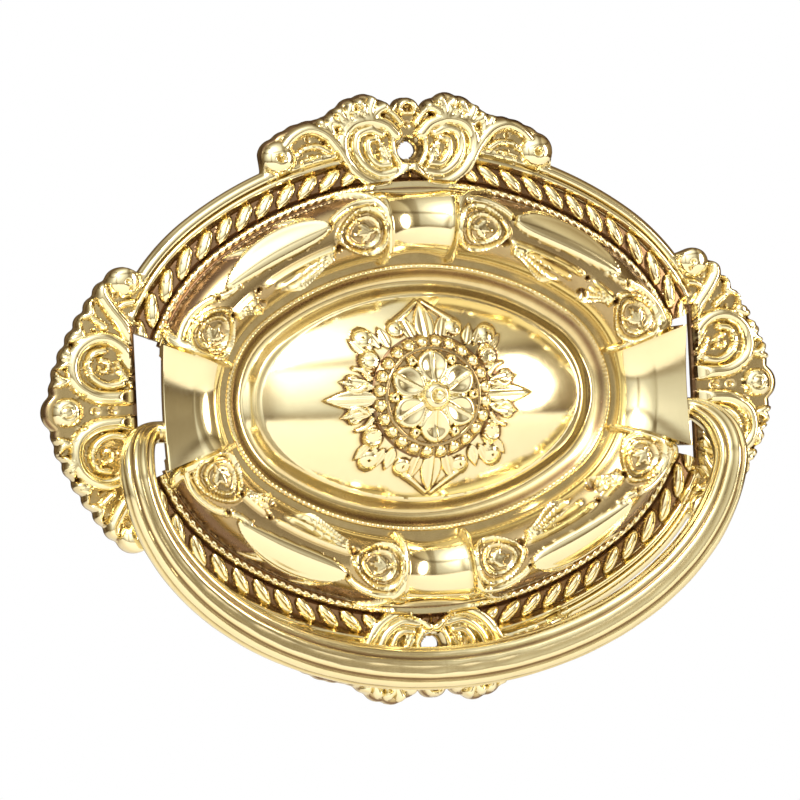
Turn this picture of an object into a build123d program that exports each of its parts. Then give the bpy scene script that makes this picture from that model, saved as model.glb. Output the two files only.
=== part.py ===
"""Oval stamped-brass bail pull.

The plate is one stamped sheet: a thin rim, a rope moulding, a tall hollow ring, a groove, a dome with
a rosette, and a leafy crest on each of its four sides. The bail is one casting. Its two pins reach
under the open bridges at the left and right of the ring, where a soldered strap holds each of them.

Sizes are in millimetres. Every solid is drawn lying on its back, with x to the right, y up and the
height towards the front. At the end it is stood up, with its back on the plane y = 0.
"""
import os
from math import asin, atan2, cos, degrees, hypot, radians, sin, sqrt

from build123d import *

# Sheet metal and the oval that every moulding follows, which is the crown line of the ring
SHEET = 0.9
OVAL_HALF_WIDTH = 31.2
OVAL_HALF_HEIGHT = 22.3

# Mouldings, as widths to either side of the crown line and heights above the back
RIM_HEIGHT = 1.5
RIM_ROLL = 1.15
RIM_WIDTH = 2.2
COVE_STEP = 0.35
COVE_WIDTH = 2.9
COVE_RISE = 0.6
BEAD_LINE_WIDTH = 0.5
LINE_GAP = 0.05
RING_RADIUS = 4.45
RING_OUTWARD = 0.25
RING_SPRING = 2.0
RING_FACETS = 12
STEP_WIDTH = 0.8
GROOVE_WIDTH = 3.9
GROOVE_DEPTH = 0.6

# Dome and rosette
DOME_RISE = 5.0
ROSETTE_RADIUS = 8.1
ROSETTE_RISE = 0.8
PETAL_COUNT = 6
PETAL_LENGTH = 4.6
PETAL_WIDTH = 3.1
BOSS_RADIUS = 1.6
BOSS_TOP = 10.0
DENTIL_COUNT = 24
DENTIL_SIZE = 0.95
ROSETTE_TIP = 5.8
LEAF_LIFT = 0.45

# Rope beads in the cove
BEAD_PITCH = 2.7
BEAD_LENGTH = 3.0
BEAD_WIDTH = 1.5
BEAD_RISE = 0.75
BEAD_TWIST = 40

# Plain waisted bands, collars, leaf buds and long leaves on the ring
BAND_HALF = 4.0
BAND_DIP = 1.1
COLLAR_WIDTH = 0.8
COLLAR_RISE = 0.5
BUD_LENGTH = 6.0
BUD_WIDTH = 4.3
BUD_RISE = 0.5
LEAF_WIDTH = 3.2
LEAF_RISE = 0.4
LEAF_GAP = 0.3

# Bridges over the pins, and the slots beside them
BRIDGE_SETBACK = 0.55
BRIDGE_RISE = 0.6
SLOT_WIDTH = 2.45
SLOT_HALF_LENGTH = 9.6

# Crests
CREST_HEIGHT = 2.1
CREST_RELIEF = 1.2
STROKE_WIDTH = 1.4
KNOB_RADIUS = 1.6
TOP_CREST_PROUD = 6.0
SIDE_CREST_PROUD = 7.6
TOP_CREST_HALF = 9.5
SIDE_CREST_HALF = 12.5
SCREW_OUTWARD = 9.7
SCREW_HOLE_RADIUS = 1.2

# Bail: a flat half oval of reeded bar, with an elbow and a pin at each end
BAIL_BOW_OUTWARD = 12.55
BAIL_SHOULDER_DROP = 6.0
BAIL_OUTWARD = 2.35
BAIL_ARM_WIDTH = 4.5
BAIL_BOW_WIDTH = 5.5
BAIL_DEPTH = 4.4
BAIL_REED_DEPTH = 0.35
BAIL_REST_GAP = 0.6
BAIL_ARM_LIFT = 3.0
PIN_RADIUS = 1.4
PIN_LENGTH = 5.6
PIN_DROP = 3.0
PIN_HEIGHT = 3.8
PIN_CLEARANCE = 0.05
ELBOW_RADIUS = 1.7
ELBOW_OUTWARD = 2.5
ELBOW_UPWARD = 5.0
ELBOW_GAP = 0.5

# Keeper straps
KEEPER_THICKNESS = 0.6
KEEPER_WIDTH = 3.0

# Four-centred oval, by the draughtsman's usual construction
DIAGONAL = hypot(OVAL_HALF_WIDTH, OVAL_HALF_HEIGHT)
END_RADIUS = DIAGONAL * (DIAGONAL - OVAL_HALF_WIDTH + OVAL_HALF_HEIGHT) / (2 * OVAL_HALF_WIDTH)
FLANK_RADIUS = DIAGONAL * (DIAGONAL + OVAL_HALF_WIDTH - OVAL_HALF_HEIGHT) / (2 * OVAL_HALF_HEIGHT)
END_CENTRE = OVAL_HALF_WIDTH - END_RADIUS
FLANK_CENTRE = FLANK_RADIUS - OVAL_HALF_HEIGHT
FLANK_HALF_SWEEP = degrees(atan2(END_CENTRE, FLANK_CENTRE))
END_SWEEP = 180 - 2 * FLANK_HALF_SWEEP

# Places that follow from the sizes above
RING_TOP = RING_SPRING + RING_RADIUS
RING_OUTER = RING_OUTWARD + RING_RADIUS
RING_INNER = RING_OUTWARD - RING_RADIUS
LINE_INNER = RING_OUTER + LINE_GAP
COVE_INNER = LINE_INNER + 2 * BEAD_LINE_WIDTH
COVE_OUTER = COVE_INNER + COVE_WIDTH
RIM_INNER = COVE_OUTER + COVE_STEP
RIM_REACH = RIM_INNER + RIM_WIDTH
COVE_LOW = RIM_HEIGHT - COVE_STEP
COVE_HIGH = COVE_LOW + COVE_RISE
LINE_TOP = COVE_HIGH + BEAD_LINE_WIDTH
GROOVE_OUTER = RING_INNER - STEP_WIDTH
GROOVE_INNER = GROOVE_OUTER - GROOVE_WIDTH
CENTRE_INNER = GROOVE_INNER - 4 * SHEET
DOME_HALF_WIDTH = OVAL_HALF_WIDTH + GROOVE_INNER
DOME_HALF_HEIGHT = OVAL_HALF_HEIGHT + GROOVE_INNER
DOME_FOOT = RING_SPRING - GROOVE_DEPTH / 2
DOME_TOP = DOME_FOOT + DOME_RISE
BRIDGE_TOP = RING_TOP + BRIDGE_RISE
BRIDGE_EDGE = OVAL_HALF_WIDTH + RING_OUTER - BRIDGE_SETBACK
SLOT_EDGE = BRIDGE_EDGE + SLOT_WIDTH
KEEPER_HALF = PIN_RADIUS + PIN_CLEARANCE + KEEPER_THICKNESS
BRIDGE_HALF = PIN_DROP + KEEPER_HALF + SHEET + PIN_CLEARANCE
BRIDGE_CROWN = OVAL_HALF_WIDTH + RING_OUTWARD
CREST_TOP = CREST_HEIGHT + CREST_RELIEF
TOP_REACH = OVAL_HALF_HEIGHT + RIM_REACH + TOP_CREST_PROUD
SIDE_REACH = OVAL_HALF_WIDTH + RIM_REACH + SIDE_CREST_PROUD
SCREW_REACH = OVAL_HALF_HEIGHT + SCREW_OUTWARD
ROSETTE_TOP = DOME_TOP + ROSETTE_RISE
BAIL_HALF_WIDTH = SLOT_EDGE + BAIL_OUTWARD
BAIL_BOW_DROP = OVAL_HALF_HEIGHT + BAIL_BOW_OUTWARD - BAIL_SHOULDER_DROP
BAIL_HEIGHT = CREST_TOP + BAIL_REST_GAP + BAIL_DEPTH / 2
PIN_FACE = BRIDGE_EDGE + ELBOW_GAP
BELOW = -1.0
ABOVE = 4 * RING_TOP


def oval_point(offset, travel):
    """Point and heading on the oval at this offset, a length clockwise from its top."""
    flank_length = (FLANK_RADIUS + offset) * radians(FLANK_HALF_SWEEP)
    if travel < flank_length:
        turn = travel / (FLANK_RADIUS + offset)
        reach = FLANK_RADIUS + offset
        return reach * sin(turn), reach * cos(turn) - FLANK_CENTRE, -degrees(turn)
    turn = radians(FLANK_HALF_SWEEP) + (travel - flank_length) / (END_RADIUS + offset)
    reach = END_RADIUS + offset
    return END_CENTRE + reach * sin(turn), reach * cos(turn), -degrees(turn)


def quarter_length(offset):
    """Length of a quarter of the oval at this offset."""
    flank = (FLANK_RADIUS + offset) * radians(FLANK_HALF_SWEEP)
    return flank + (END_RADIUS + offset) * radians(END_SWEEP / 2)


def both_ways(shape):
    """A shape and its mirror image, left to right."""
    return shape + mirror(shape, Plane.YZ)


def four_ways(shape):
    """A shape in all four quarters of the plate."""
    pair = both_ways(shape)
    return pair + mirror(pair, Plane.XZ)


def round_the_oval(section):
    """Carry a section, drawn as offset and height, round the four arcs of the oval."""
    end = revolve(Pos(END_RADIUS, 0, 0) * section, Axis.Z, END_SWEEP)
    end = Pos(END_CENTRE, 0, 0) * Rot(0, 0, -END_SWEEP / 2) * end
    flank = revolve(Pos(FLANK_RADIUS, 0, 0) * section, Axis.Z, 2 * FLANK_HALF_SWEEP)
    flank = Pos(0, -FLANK_CENTRE, 0) * Rot(0, 0, 90 - FLANK_HALF_SWEEP) * flank
    return end + mirror(end, Plane.YZ) + flank + mirror(flank, Plane.XZ)


def facets(centre, radius, start, end, count):
    """Points along an arc from one angle to another, for a moulding made of plain facets."""
    turns = [radians(start + (end - start) * step / count) for step in range(count + 1)]
    return [(centre[0] + radius * cos(turn), centre[1] + radius * sin(turn)) for turn in turns]


def front_section():
    """Section of the mouldings' front, closed down to the back plane."""
    roll = facets((RIM_REACH - RIM_ROLL, RIM_HEIGHT - RIM_ROLL), RIM_ROLL, 0, 90, 3)
    groove_middle = (GROOVE_OUTER + GROOVE_INNER) / 2
    groove_quarter = (GROOVE_OUTER - GROOVE_INNER) / 4
    outline = Polyline(
        (RIM_REACH, 0),
        *roll,
        (RIM_INNER, RIM_HEIGHT),
        (COVE_OUTER, COVE_LOW),
        (COVE_INNER, COVE_HIGH),
        (COVE_INNER - BEAD_LINE_WIDTH / 2, LINE_TOP),
        (LINE_INNER, LINE_TOP),
        *facets((RING_OUTWARD, RING_SPRING), RING_RADIUS, 0, 180, RING_FACETS),
        (GROOVE_OUTER, RING_SPRING),
        (groove_middle + groove_quarter, RING_SPRING - 0.75 * GROOVE_DEPTH),
        (groove_middle, RING_SPRING - GROOVE_DEPTH),
        (groove_middle - groove_quarter, RING_SPRING - 0.75 * GROOVE_DEPTH),
        (GROOVE_INNER, RING_SPRING),
        (CENTRE_INNER, RING_SPRING),
        (CENTRE_INNER, 0),
        close=True,
    )
    return Plane.XZ * make_face(outline)


def back_section():
    """Section of the hollow behind the mouldings, one sheet inside the front."""
    inner = RING_RADIUS - SHEET
    floor = RING_SPRING - SHEET
    outline = Polyline(
        (RIM_REACH - SHEET, BELOW),
        (RIM_REACH - SHEET, (RIM_HEIGHT - SHEET) / 2),
        (RIM_INNER, RIM_HEIGHT - SHEET),
        (COVE_OUTER, COVE_LOW - SHEET),
        (COVE_INNER, COVE_HIGH - SHEET),
        (RING_OUTWARD + inner, floor),
        *facets((RING_OUTWARD, RING_SPRING), inner, 0, 180, RING_FACETS // 2),
        (RING_OUTWARD - inner, floor),
        (GROOVE_OUTER, floor),
        ((GROOVE_OUTER + GROOVE_INNER) / 2, floor - GROOVE_DEPTH),
        (GROOVE_INNER, floor),
        (CENTRE_INNER, floor),
        (CENTRE_INNER, BELOW),
        close=True,
    )
    return Plane.XZ * make_face(outline)


def dome(inset):
    """The dome: half of it is an arc turned about a sunk axis that lies along it, cut off at the foot."""
    half_width, half_height = DOME_HALF_WIDTH - inset, DOME_HALF_HEIGHT - inset
    rise = DOME_RISE - inset
    sunk = (half_height**2 - rise**2) / (2 * rise)
    arc = ThreePointArc((-half_width, sunk), (0, sunk + rise), (half_width, sunk))
    foot = Polyline((-half_width, sunk), (-half_width, 0), (half_width, 0), (half_width, sunk))
    turned = Pos(0, 0, -sunk) * revolve(Rot(90, 0, 0) * make_face(arc + foot), Axis.X, 180)
    half = turned & Pos(0, 0, half_width) * Box(3 * half_width, 3 * half_width, 2 * half_width)
    return Pos(0, 0, DOME_FOOT) * (half + mirror(half, Plane.XZ))


def centre_well(bottom):
    """The oval post under the dome, from the bottom height up to the dome's foot."""
    outline = Ellipse(DOME_HALF_WIDTH - 2 * SHEET, DOME_HALF_HEIGHT - 2 * SHEET)
    return Pos(0, 0, bottom) * extrude(outline, DOME_FOOT - bottom)


def arch(lift):
    """The ring's arch alone, this much proud of its surface."""
    reach = RING_RADIUS + lift
    crown = facets((RING_OUTWARD, RING_SPRING), reach, 0, 180, RING_FACETS)
    return round_the_oval(Plane.XZ * make_face(Polyline(*crown, close=True)))


def frustum(outline, rise, ease):
    """A low pad with sloping sides on this outline."""
    return extrude(outline, rise, taper=ease)


def pointed_leaf(length, width):
    """A pointed oval, its points on the x axis."""
    half, swell = length / 2, width / 2
    lower = ThreePointArc((-half, 0), (0, -swell), (half, 0))
    return make_face(lower + ThreePointArc((half, 0), (0, swell), (-half, 0)))


def band_cutter(inset, half, top):
    """A cylinder across the ring that hollows a plain band into a waist."""
    radius = (half**2 + BAND_DIP**2) / (2 * BAND_DIP)
    return Pos(0, 0, top - BAND_DIP + radius) * Rot(90, 0, 0) * Cylinder(radius + inset, 4 * RING_RADIUS)


def bridge(inset, half, rise=0.0):
    """The open bridge over a pin: its roof runs out level from the crown and lifts a little."""
    bottom = BELOW if inset else 0
    roof = Polyline(
        (BRIDGE_CROWN, bottom),
        (BRIDGE_CROWN, RING_TOP - inset + rise),
        ((BRIDGE_CROWN + BRIDGE_EDGE) / 2, RING_TOP + 0.7 * BRIDGE_RISE - inset + rise),
        (SLOT_EDGE, BRIDGE_TOP - inset + rise),
        (SLOT_EDGE, bottom),
        close=True,
    )
    return extrude(Plane.XZ * make_face(roof), half, both=True)


def waists(inset):
    """Cutters for the plain waisted bands at the top, bottom, left and right of the ring."""
    flank = Pos(0, OVAL_HALF_HEIGHT, 0) * band_cutter(inset, BAND_HALF, RING_TOP)
    end = band_cutter(inset, BRIDGE_HALF - COLLAR_WIDTH, BRIDGE_TOP)
    end = Pos(BRIDGE_CROWN, 0, 0) * Rot(0, 0, 90) * end
    return flank + mirror(flank, Plane.XZ) + end + mirror(end, Plane.YZ)


def collars():
    """Lips across the ring at both ends of every plain band."""
    above = Pos(0, 0, ABOVE / 2) * Box(ABOVE, ABOVE, ABOVE)
    lip = above & (Rot(0, 90, 0) * Cylinder(RING_RADIUS + COLLAR_RISE, COLLAR_WIDTH))
    turn = degrees(asin((BAND_HALF + COLLAR_WIDTH / 2) / FLANK_RADIUS))
    flank = Pos(0, FLANK_RADIUS + RING_OUTWARD, RING_SPRING) * lip
    flank = Pos(0, -FLANK_CENTRE, 0) * Rot(0, 0, -turn) * flank
    middle = BRIDGE_HALF - COLLAR_WIDTH / 2
    across = END_CENTRE + RING_OUTWARD + sqrt(END_RADIUS**2 - middle**2)
    end = Pos(across, middle, RING_SPRING) * Rot(0, 0, 90) * lip
    end += Pos(0, middle, 0) * bridge(0, COLLAR_WIDTH / 2, COLLAR_RISE)
    return four_ways(flank + end)


def ring_leaves():
    """Leaf buds beside the collars, and a long leaf between them."""
    length = quarter_length(0)
    upper_bud = BAND_HALF + COLLAR_WIDTH / 2 + BUD_LENGTH / 2
    lower_bud = length - BRIDGE_HALF - BUD_LENGTH / 2
    buds = Sketch()
    for travel in (upper_bud, lower_bud):
        x, y, heading = oval_point(0, travel)
        buds += Pos(x, y, 0) * Rot(0, 0, heading) * pointed_leaf(BUD_LENGTH, BUD_WIDTH)
    start, finish = upper_bud + BUD_LENGTH / 2 + LEAF_GAP, lower_bud - BUD_LENGTH / 2 - LEAF_GAP
    middle = (start + finish) / 2
    tips = [oval_point(RING_OUTWARD, travel)[:2] for travel in (start, finish)]
    outer = oval_point(LEAF_WIDTH, middle)[:2]
    inner = oval_point(-BUD_RISE, middle)[:2]
    leaf = make_face(ThreePointArc(tips[0], outer, tips[1]) + ThreePointArc(tips[1], inner, tips[0]))
    pads = extrude(buds, ABOVE) & arch(BUD_RISE)
    pads += extrude(leaf, ABOVE) & arch(LEAF_RISE)
    return four_ways(pads)


def rope():
    """Slanted beads round the cove, left out under the crests."""
    offset = COVE_OUTER - COVE_WIDTH / 2
    seat = (COVE_LOW + COVE_HIGH) / 2
    half, thick = BEAD_LENGTH / 2, BEAD_WIDTH / 2
    outline = Polyline(
        (-half, 0), (half / 3, -thick), (half, 0), (-half / 3, thick), close=True
    )
    bead = Pos(0, 0, seat - BEAD_RISE / 3) * frustum(make_face(outline), BEAD_RISE + BEAD_RISE / 3, 18)
    length = quarter_length(offset)
    first, last = TOP_CREST_HALF, length - SIDE_CREST_HALF
    count = int((last - first) / BEAD_PITCH)
    beads = []
    for number in range(count + 1):
        x, y, heading = oval_point(offset, first + number * (last - first) / count)
        beads.append(Pos(x, y, 0) * Rot(0, 0, heading - BEAD_TWIST) * bead)
    return four_ways(Part() + beads)


def stroke_arc(x, y, radius, start, sweep):
    """A raised curved stroke with sloping sides, on top of a crest."""
    low = CREST_HEIGHT - SHEET / 2
    section = Polyline(
        (radius - STROKE_WIDTH / 2, low),
        (radius - STROKE_WIDTH / 4, CREST_TOP),
        (radius + STROKE_WIDTH / 4, CREST_TOP),
        (radius + STROKE_WIDTH / 2, low),
        close=True,
    )
    ridge = revolve(Plane.XZ * make_face(section), Axis.Z, sweep)
    return Pos(x, y, 0) * Rot(0, 0, start) * ridge


def stroke_line(x, y, length, lean):
    """A raised straight stroke with sloping sides, on top of a crest, from a point on its line."""
    low = CREST_HEIGHT - SHEET / 2
    pad = frustum(Rectangle(length, STROKE_WIDTH), CREST_TOP - low, 15)
    return Pos(x, y, low) * Rot(0, 0, lean) * Pos(length / 2, 0, 0) * pad


def knob(x, y, radius=KNOB_RADIUS):
    """An eight-sided knob with sloping sides, on top of a crest."""
    low = CREST_HEIGHT - SHEET / 2
    return Pos(x, y, low) * frustum(RegularPolygon(radius, 8), CREST_TOP - low, 25)


def top_crest_outline():
    """Right half of the top crest's outline: a shell over the ring's band, leaves and an end boss."""
    body = Polyline(
        (0, TOP_REACH - 10.2),
        (3.0, TOP_REACH - 11.7),
        (6.1, TOP_REACH - 11.9),
        (8.3, TOP_REACH - 10.5),
        (10.0, TOP_REACH - 7.6),
        (18.5, TOP_REACH - 9.6),
        (17.5, TOP_REACH - 7.0),
        (11.8, TOP_REACH - 5.0),
        (6.0, TOP_REACH - 2.0),
        (0, TOP_REACH - 2.0),
        close=True,
    )
    lobes = (
        (0, 2.2, 1.6),
        (3.9, 2.7, 2.2),
        (6.1, 2.5, 2.5),
        (8.5, 3.9, 2.0),
        (11.6, 5.7, 2.5),
        (14.4, 6.1, 2.4),
        (17.6, 7.8, 2.3),
    )
    outline = Sketch() + make_face(body)
    for x, drop, radius in lobes:
        outline += Pos(x, TOP_REACH - drop) * Circle(radius)
    return outline


def side_crest_outline():
    """Upper half of the right crest's outline: a scroll beside the slot, lobes and an end boss."""
    body = Polyline(
        (SLOT_EDGE - SHEET, 0),
        (SLOT_EDGE - SHEET, 9.0),
        (SIDE_REACH - 11.9, 12.0),
        (SIDE_REACH - 13.9, 17.2),
        (SIDE_REACH - 11.0, 16.6),
        (SIDE_REACH - 8.0, 14.6),
        (SIDE_REACH - 4.4, 8.0),
        (SIDE_REACH - 1.8, 2.4),
        (SIDE_REACH - 1.2, 0),
        close=True,
    )
    lobes = (
        (2.5, 0, 2.5),
        (2.8, 4.0, 1.9),
        (4.6, 7.4, 1.9),
        (6.5, 10.8, 2.0),
        (8.5, 13.9, 2.0),
        (11.2, 15.8, 2.1),
    )
    outline = Sketch() + make_face(body)
    for back, y, radius in lobes:
        outline += Pos(SIDE_REACH - back, y) * Circle(radius)
    return outline


def crests(inset):
    """The four crests as blocks: their front form, or the hollow one sheet inside it."""
    bottom = BELOW if inset else 0
    top = top_crest_outline()
    top += mirror(top, Plane.YZ)
    side = side_crest_outline()
    side += mirror(side, Plane.XZ)
    if inset:
        top = offset(top, -inset)
        side = offset(side, -inset)
    top = Pos(0, 0, bottom) * extrude(top, CREST_HEIGHT - inset - bottom)
    side = Pos(0, 0, bottom) * extrude(side, CREST_HEIGHT - inset - bottom)
    return top + mirror(top, Plane.XZ) + side + mirror(side, Plane.YZ)


def crest_carving():
    """Scrolls, leaves and knobs raised on the crests, one quarter mirrored."""
    carving = [
        knob(0, TOP_REACH - 2.0),
        stroke_arc(4.0, TOP_REACH - 8.0, 3.6, -165, 190),
        stroke_line(8.3, TOP_REACH - 7.4, 2.8, 52),
        stroke_line(10.4, TOP_REACH - 6.4, 5.6, -14),
        knob(17.6, TOP_REACH - 7.8),
        knob(14.2, TOP_REACH - 5.3),
        knob(11.4, TOP_REACH - 4.6),
        stroke_line(4.0, TOP_REACH - 9.2, 2.6, 90),
        stroke_line(3.0, TOP_REACH - 5.6, 3.6, 86),
        stroke_line(4.6, TOP_REACH - 5.4, 3.9, 62),
        stroke_line(6.4, TOP_REACH - 5.8, 3.4, 34),
        stroke_arc(SIDE_REACH - 3.0, 0, 1.5, 0, 180),
        stroke_arc(SIDE_REACH - 6.6, 4.6, 2.2, 60, 250),
        knob(SIDE_REACH - 6.6, 4.6, KNOB_RADIUS / 2),
        stroke_line(SIDE_REACH - 10.6, 8.8, 6.2, 58),
        knob(SIDE_REACH - 2.9, 4.1),
        knob(SIDE_REACH - 4.7, 7.5),
        knob(SIDE_REACH - 6.6, 10.8),
        knob(SIDE_REACH - 8.6, 13.8),
        knob(SIDE_REACH - 11.1, 15.8),
    ]
    return four_ways(Part() + carving)


def rosette():
    """A round flower on a dentilled disc, with pointed leaves lying on the dome about it."""
    disc = Polyline(
        (0, RING_SPRING),
        (ROSETTE_RADIUS, RING_SPRING),
        (ROSETTE_RADIUS, DOME_TOP - DENTIL_SIZE / 2),
        (ROSETTE_RADIUS - 2 * DENTIL_SIZE, ROSETTE_TOP),
        (0, ROSETTE_TOP),
        close=True,
    )
    flower = revolve(Plane.XZ * make_face(disc), Axis.Z)
    boss = Polyline(
        (0, ROSETTE_TOP - SHEET),
        (BOSS_RADIUS, ROSETTE_TOP - SHEET),
        (BOSS_RADIUS, BOSS_TOP - BOSS_RADIUS),
        (0.75 * BOSS_RADIUS, BOSS_TOP - BOSS_RADIUS / 3),
        (0, BOSS_TOP),
        close=True,
    )
    pieces = [revolve(Plane.XZ * make_face(boss), Axis.Z)]
    petal = frustum(pointed_leaf(PETAL_LENGTH, PETAL_WIDTH), 2 * ROSETTE_RISE, 12)
    petal = Pos(BOSS_RADIUS + PETAL_LENGTH / 2 - SHEET / 2, 0, ROSETTE_TOP - ROSETTE_RISE) * petal
    dentil = Pos(ROSETTE_RADIUS - DENTIL_SIZE, 0, DOME_TOP - DENTIL_SIZE / 2)
    dentil = dentil * frustum(Rectangle(DENTIL_SIZE, DENTIL_SIZE), 1.5 * DENTIL_SIZE, 10)
    pieces += [Rot(0, 0, number * 360 / PETAL_COUNT) * petal for number in range(PETAL_COUNT)]
    pieces += [Rot(0, 0, number * 360 / DENTIL_COUNT) * dentil for number in range(DENTIL_COUNT)]
    return flower + pieces


def dome_leaves():
    """Eight pointed leaves on the dome, longest along its length."""
    rays = Sketch()
    for number in range(8):
        reach = (ROSETTE_TIP, 0.7 * ROSETTE_TIP)[number % 2]
        if number % 4 == 2:
            reach = 0.65 * ROSETTE_TIP
        leaf = pointed_leaf(2 * reach, 1.2 * PETAL_WIDTH)
        rays += Rot(0, 0, 45 * number) * Pos(ROSETTE_RADIUS, 0) * leaf
    return extrude(rays, ABOVE) & dome(-LEAF_LIFT)


def screw_posts(radius, height):
    """A post on the back plane at each screw hole, or the cutter for the hole."""
    post = Pos(0, SCREW_REACH, 0) * Cylinder(radius, height, align=(Align.CENTER, Align.CENTER, Align.MIN))
    return post + mirror(post, Plane.XZ)


def back_plate():
    """The stamped sheet: its front form less the hollow behind it, the slots and the screw holes."""
    front = round_the_oval(front_section()) + centre_well(BELOW / 2) + dome(0)
    bridges = both_ways(bridge(0, BRIDGE_HALF))
    front = front + bridges + crests(0) - waists(0)
    front = front + collars() + ring_leaves() + rope() + crest_carving() + rosette() + dome_leaves()
    slot = Pos((BRIDGE_EDGE + SLOT_EDGE) / 2, 0, 0) * Box(SLOT_WIDTH, 2 * SLOT_HALF_LENGTH, ABOVE)
    collars_behind = screw_posts(SCREW_HOLE_RADIUS + SHEET, CREST_HEIGHT)
    return front - back_form() + collars_behind - both_ways(slot) - screw_posts(SCREW_HOLE_RADIUS, ABOVE)


def back_form():
    """The hollow behind the sheet, as a solid."""
    hollow = round_the_oval(back_section()) + centre_well(BELOW) + dome(SHEET)
    return hollow + both_ways(bridge(SHEET, BRIDGE_HALF - SHEET)) + crests(SHEET) - waists(SHEET)


def bail_route():
    """Right half of the bail's centre line, from the bottom of the bow to the root of the pin."""
    stations = []
    for step in range(17):
        turn = radians(5 * step)
        x = BAIL_HALF_WIDTH * sin(turn)
        y = -BAIL_SHOULDER_DROP - BAIL_BOW_DROP * cos(turn)
        stations.append(Vector(x, y, BAIL_HEIGHT + BAIL_ARM_LIFT * sin(turn) ** 2))
    shoulder = stations[-1]
    root = Vector(PIN_FACE, -PIN_DROP, PIN_HEIGHT)
    above = shoulder + (shoulder - stations[-2]).normalized() * ELBOW_UPWARD
    beside = root + Vector(ELBOW_OUTWARD, 0, 0)
    for step in range(1, 9):
        share = step / 8
        rest = 1 - share
        arc = above * (3 * rest**2 * share) + beside * (3 * rest * share**2)
        stations.append(shoulder * rest**3 + arc + root * share**3)
    return stations


def bail_section(width, depth, reed):
    """Outline of the bail: an oval with three grooves along its front."""
    points = []
    for angle in (0, 30, 50, 70, 90, 110, 130, 150, 180, 210, 240, 270, 300, 330):
        cut = reed if angle in (50, 90, 130) else 0
        turn = radians(angle)
        points.append(((width / 2 - cut) * cos(turn), (depth / 2 - cut) * sin(turn)))
    return make_face(Polyline(*points, close=True))


def bail():
    """The cast bail: one bar from pin to pin, fat and reeded at the bow, round at the elbows."""
    route = bail_route()
    last = len(route) - 1
    sections = []
    for number, centre in enumerate(route):
        if number == 0:
            along = Vector(1, 0, 0)
        elif number == last:
            along = Vector(-1, 0, 0)
        else:
            along = route[number + 1] - route[number - 1]
        across = along.cross(Vector(0, 0, 1))
        arm = min(number / 16, 1)
        bend = max(number - 16, 0) / (last - 16)
        width = BAIL_BOW_WIDTH + (BAIL_ARM_WIDTH - BAIL_BOW_WIDTH) * arm
        width += (2 * ELBOW_RADIUS - width) * bend
        depth = BAIL_DEPTH + (2 * ELBOW_RADIUS - BAIL_DEPTH) * bend
        outline = bail_section(width, depth, BAIL_REED_DEPTH * (1 - bend))
        sections.append(Plane(origin=centre, x_dir=across, z_dir=along) * outline)
    half = loft(sections)
    pin = Pos(PIN_FACE - PIN_LENGTH / 2, -PIN_DROP, PIN_HEIGHT) * Rot(0, 90, 0)
    pin = pin * Cylinder(PIN_RADIUS, PIN_LENGTH)
    return both_ways(half + pin)


def keeper():
    """The strap under the right pin, soldered to the hollow of the ring."""
    bore = PIN_RADIUS + PIN_CLEARANCE
    strap = Pos(0, ABOVE / 2, 0) * Box(2 * KEEPER_HALF, ABOVE, KEEPER_WIDTH)
    strap += Cylinder(KEEPER_HALF, KEEPER_WIDTH)
    strap -= Pos(0, ABOVE / 2, 0) * Box(2 * bore, ABOVE, KEEPER_WIDTH)
    strap -= Cylinder(bore, KEEPER_WIDTH)
    strap = Plane.YZ * strap
    return Pos(PIN_FACE - PIN_LENGTH + KEEPER_WIDTH / 2 + ELBOW_GAP, -PIN_DROP, PIN_HEIGHT) * strap


# Stand every piece up with its back on the plane y = 0, and write it out
FRONT = Plane(origin=(0, 0, 0), x_dir=(1, 0, 0), z_dir=(0, -1, 0))

right_keeper = keeper() & back_form()
pieces = {
    "back_plate": back_plate(),
    "bail": bail(),
    "bail_keeper_right": right_keeper,
    "bail_keeper_left": mirror(right_keeper, Plane.YZ),
}
os.makedirs("parts", exist_ok=True)
for name, solid in pieces.items():
    export_step(FRONT.location * solid, f"parts/{name}.step")
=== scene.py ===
"""Looks of an oval stamped-brass bail pull.

The plate is dressed in seven closed sheets: four sectors of the field with its rim, rope and crests, the
hollow ring, the groove with its dome, and the rosette. The bail is one closed bar. Lengths are in
millimetres, with x to the right, y up and the height towards the front, until a mesh is stood up and
brought to metres. An offset is a distance outwards from the ring's crown line.
"""

from math import atan2, cos, degrees, hypot, pi, radians, sin

import bpy
import numpy as np
from mathutils import Matrix, Vector


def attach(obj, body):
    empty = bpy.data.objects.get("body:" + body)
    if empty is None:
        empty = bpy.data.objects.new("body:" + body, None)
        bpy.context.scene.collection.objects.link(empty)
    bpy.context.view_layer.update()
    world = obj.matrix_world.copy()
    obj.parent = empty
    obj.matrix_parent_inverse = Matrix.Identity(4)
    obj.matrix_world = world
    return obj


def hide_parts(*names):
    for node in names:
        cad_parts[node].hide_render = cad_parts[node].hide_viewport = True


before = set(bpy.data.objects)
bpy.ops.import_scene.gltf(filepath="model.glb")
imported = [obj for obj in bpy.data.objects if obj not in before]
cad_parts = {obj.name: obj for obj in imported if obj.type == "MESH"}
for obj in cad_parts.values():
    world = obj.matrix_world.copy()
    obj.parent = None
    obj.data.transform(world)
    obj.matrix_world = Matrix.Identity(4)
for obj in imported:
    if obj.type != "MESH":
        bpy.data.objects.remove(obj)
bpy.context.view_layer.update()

MM = 0.001

# The oval under every moulding, and the sheet
OVAL_HALF_WIDTH = 31.2
OVAL_HALF_HEIGHT = 22.3
SHEET = 0.9
# How dark the backs are drawn. The ring's flange takes it too, which paints a line of shade along its outer
# foot.
BACK_DARKNESS = 0.8

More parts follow.
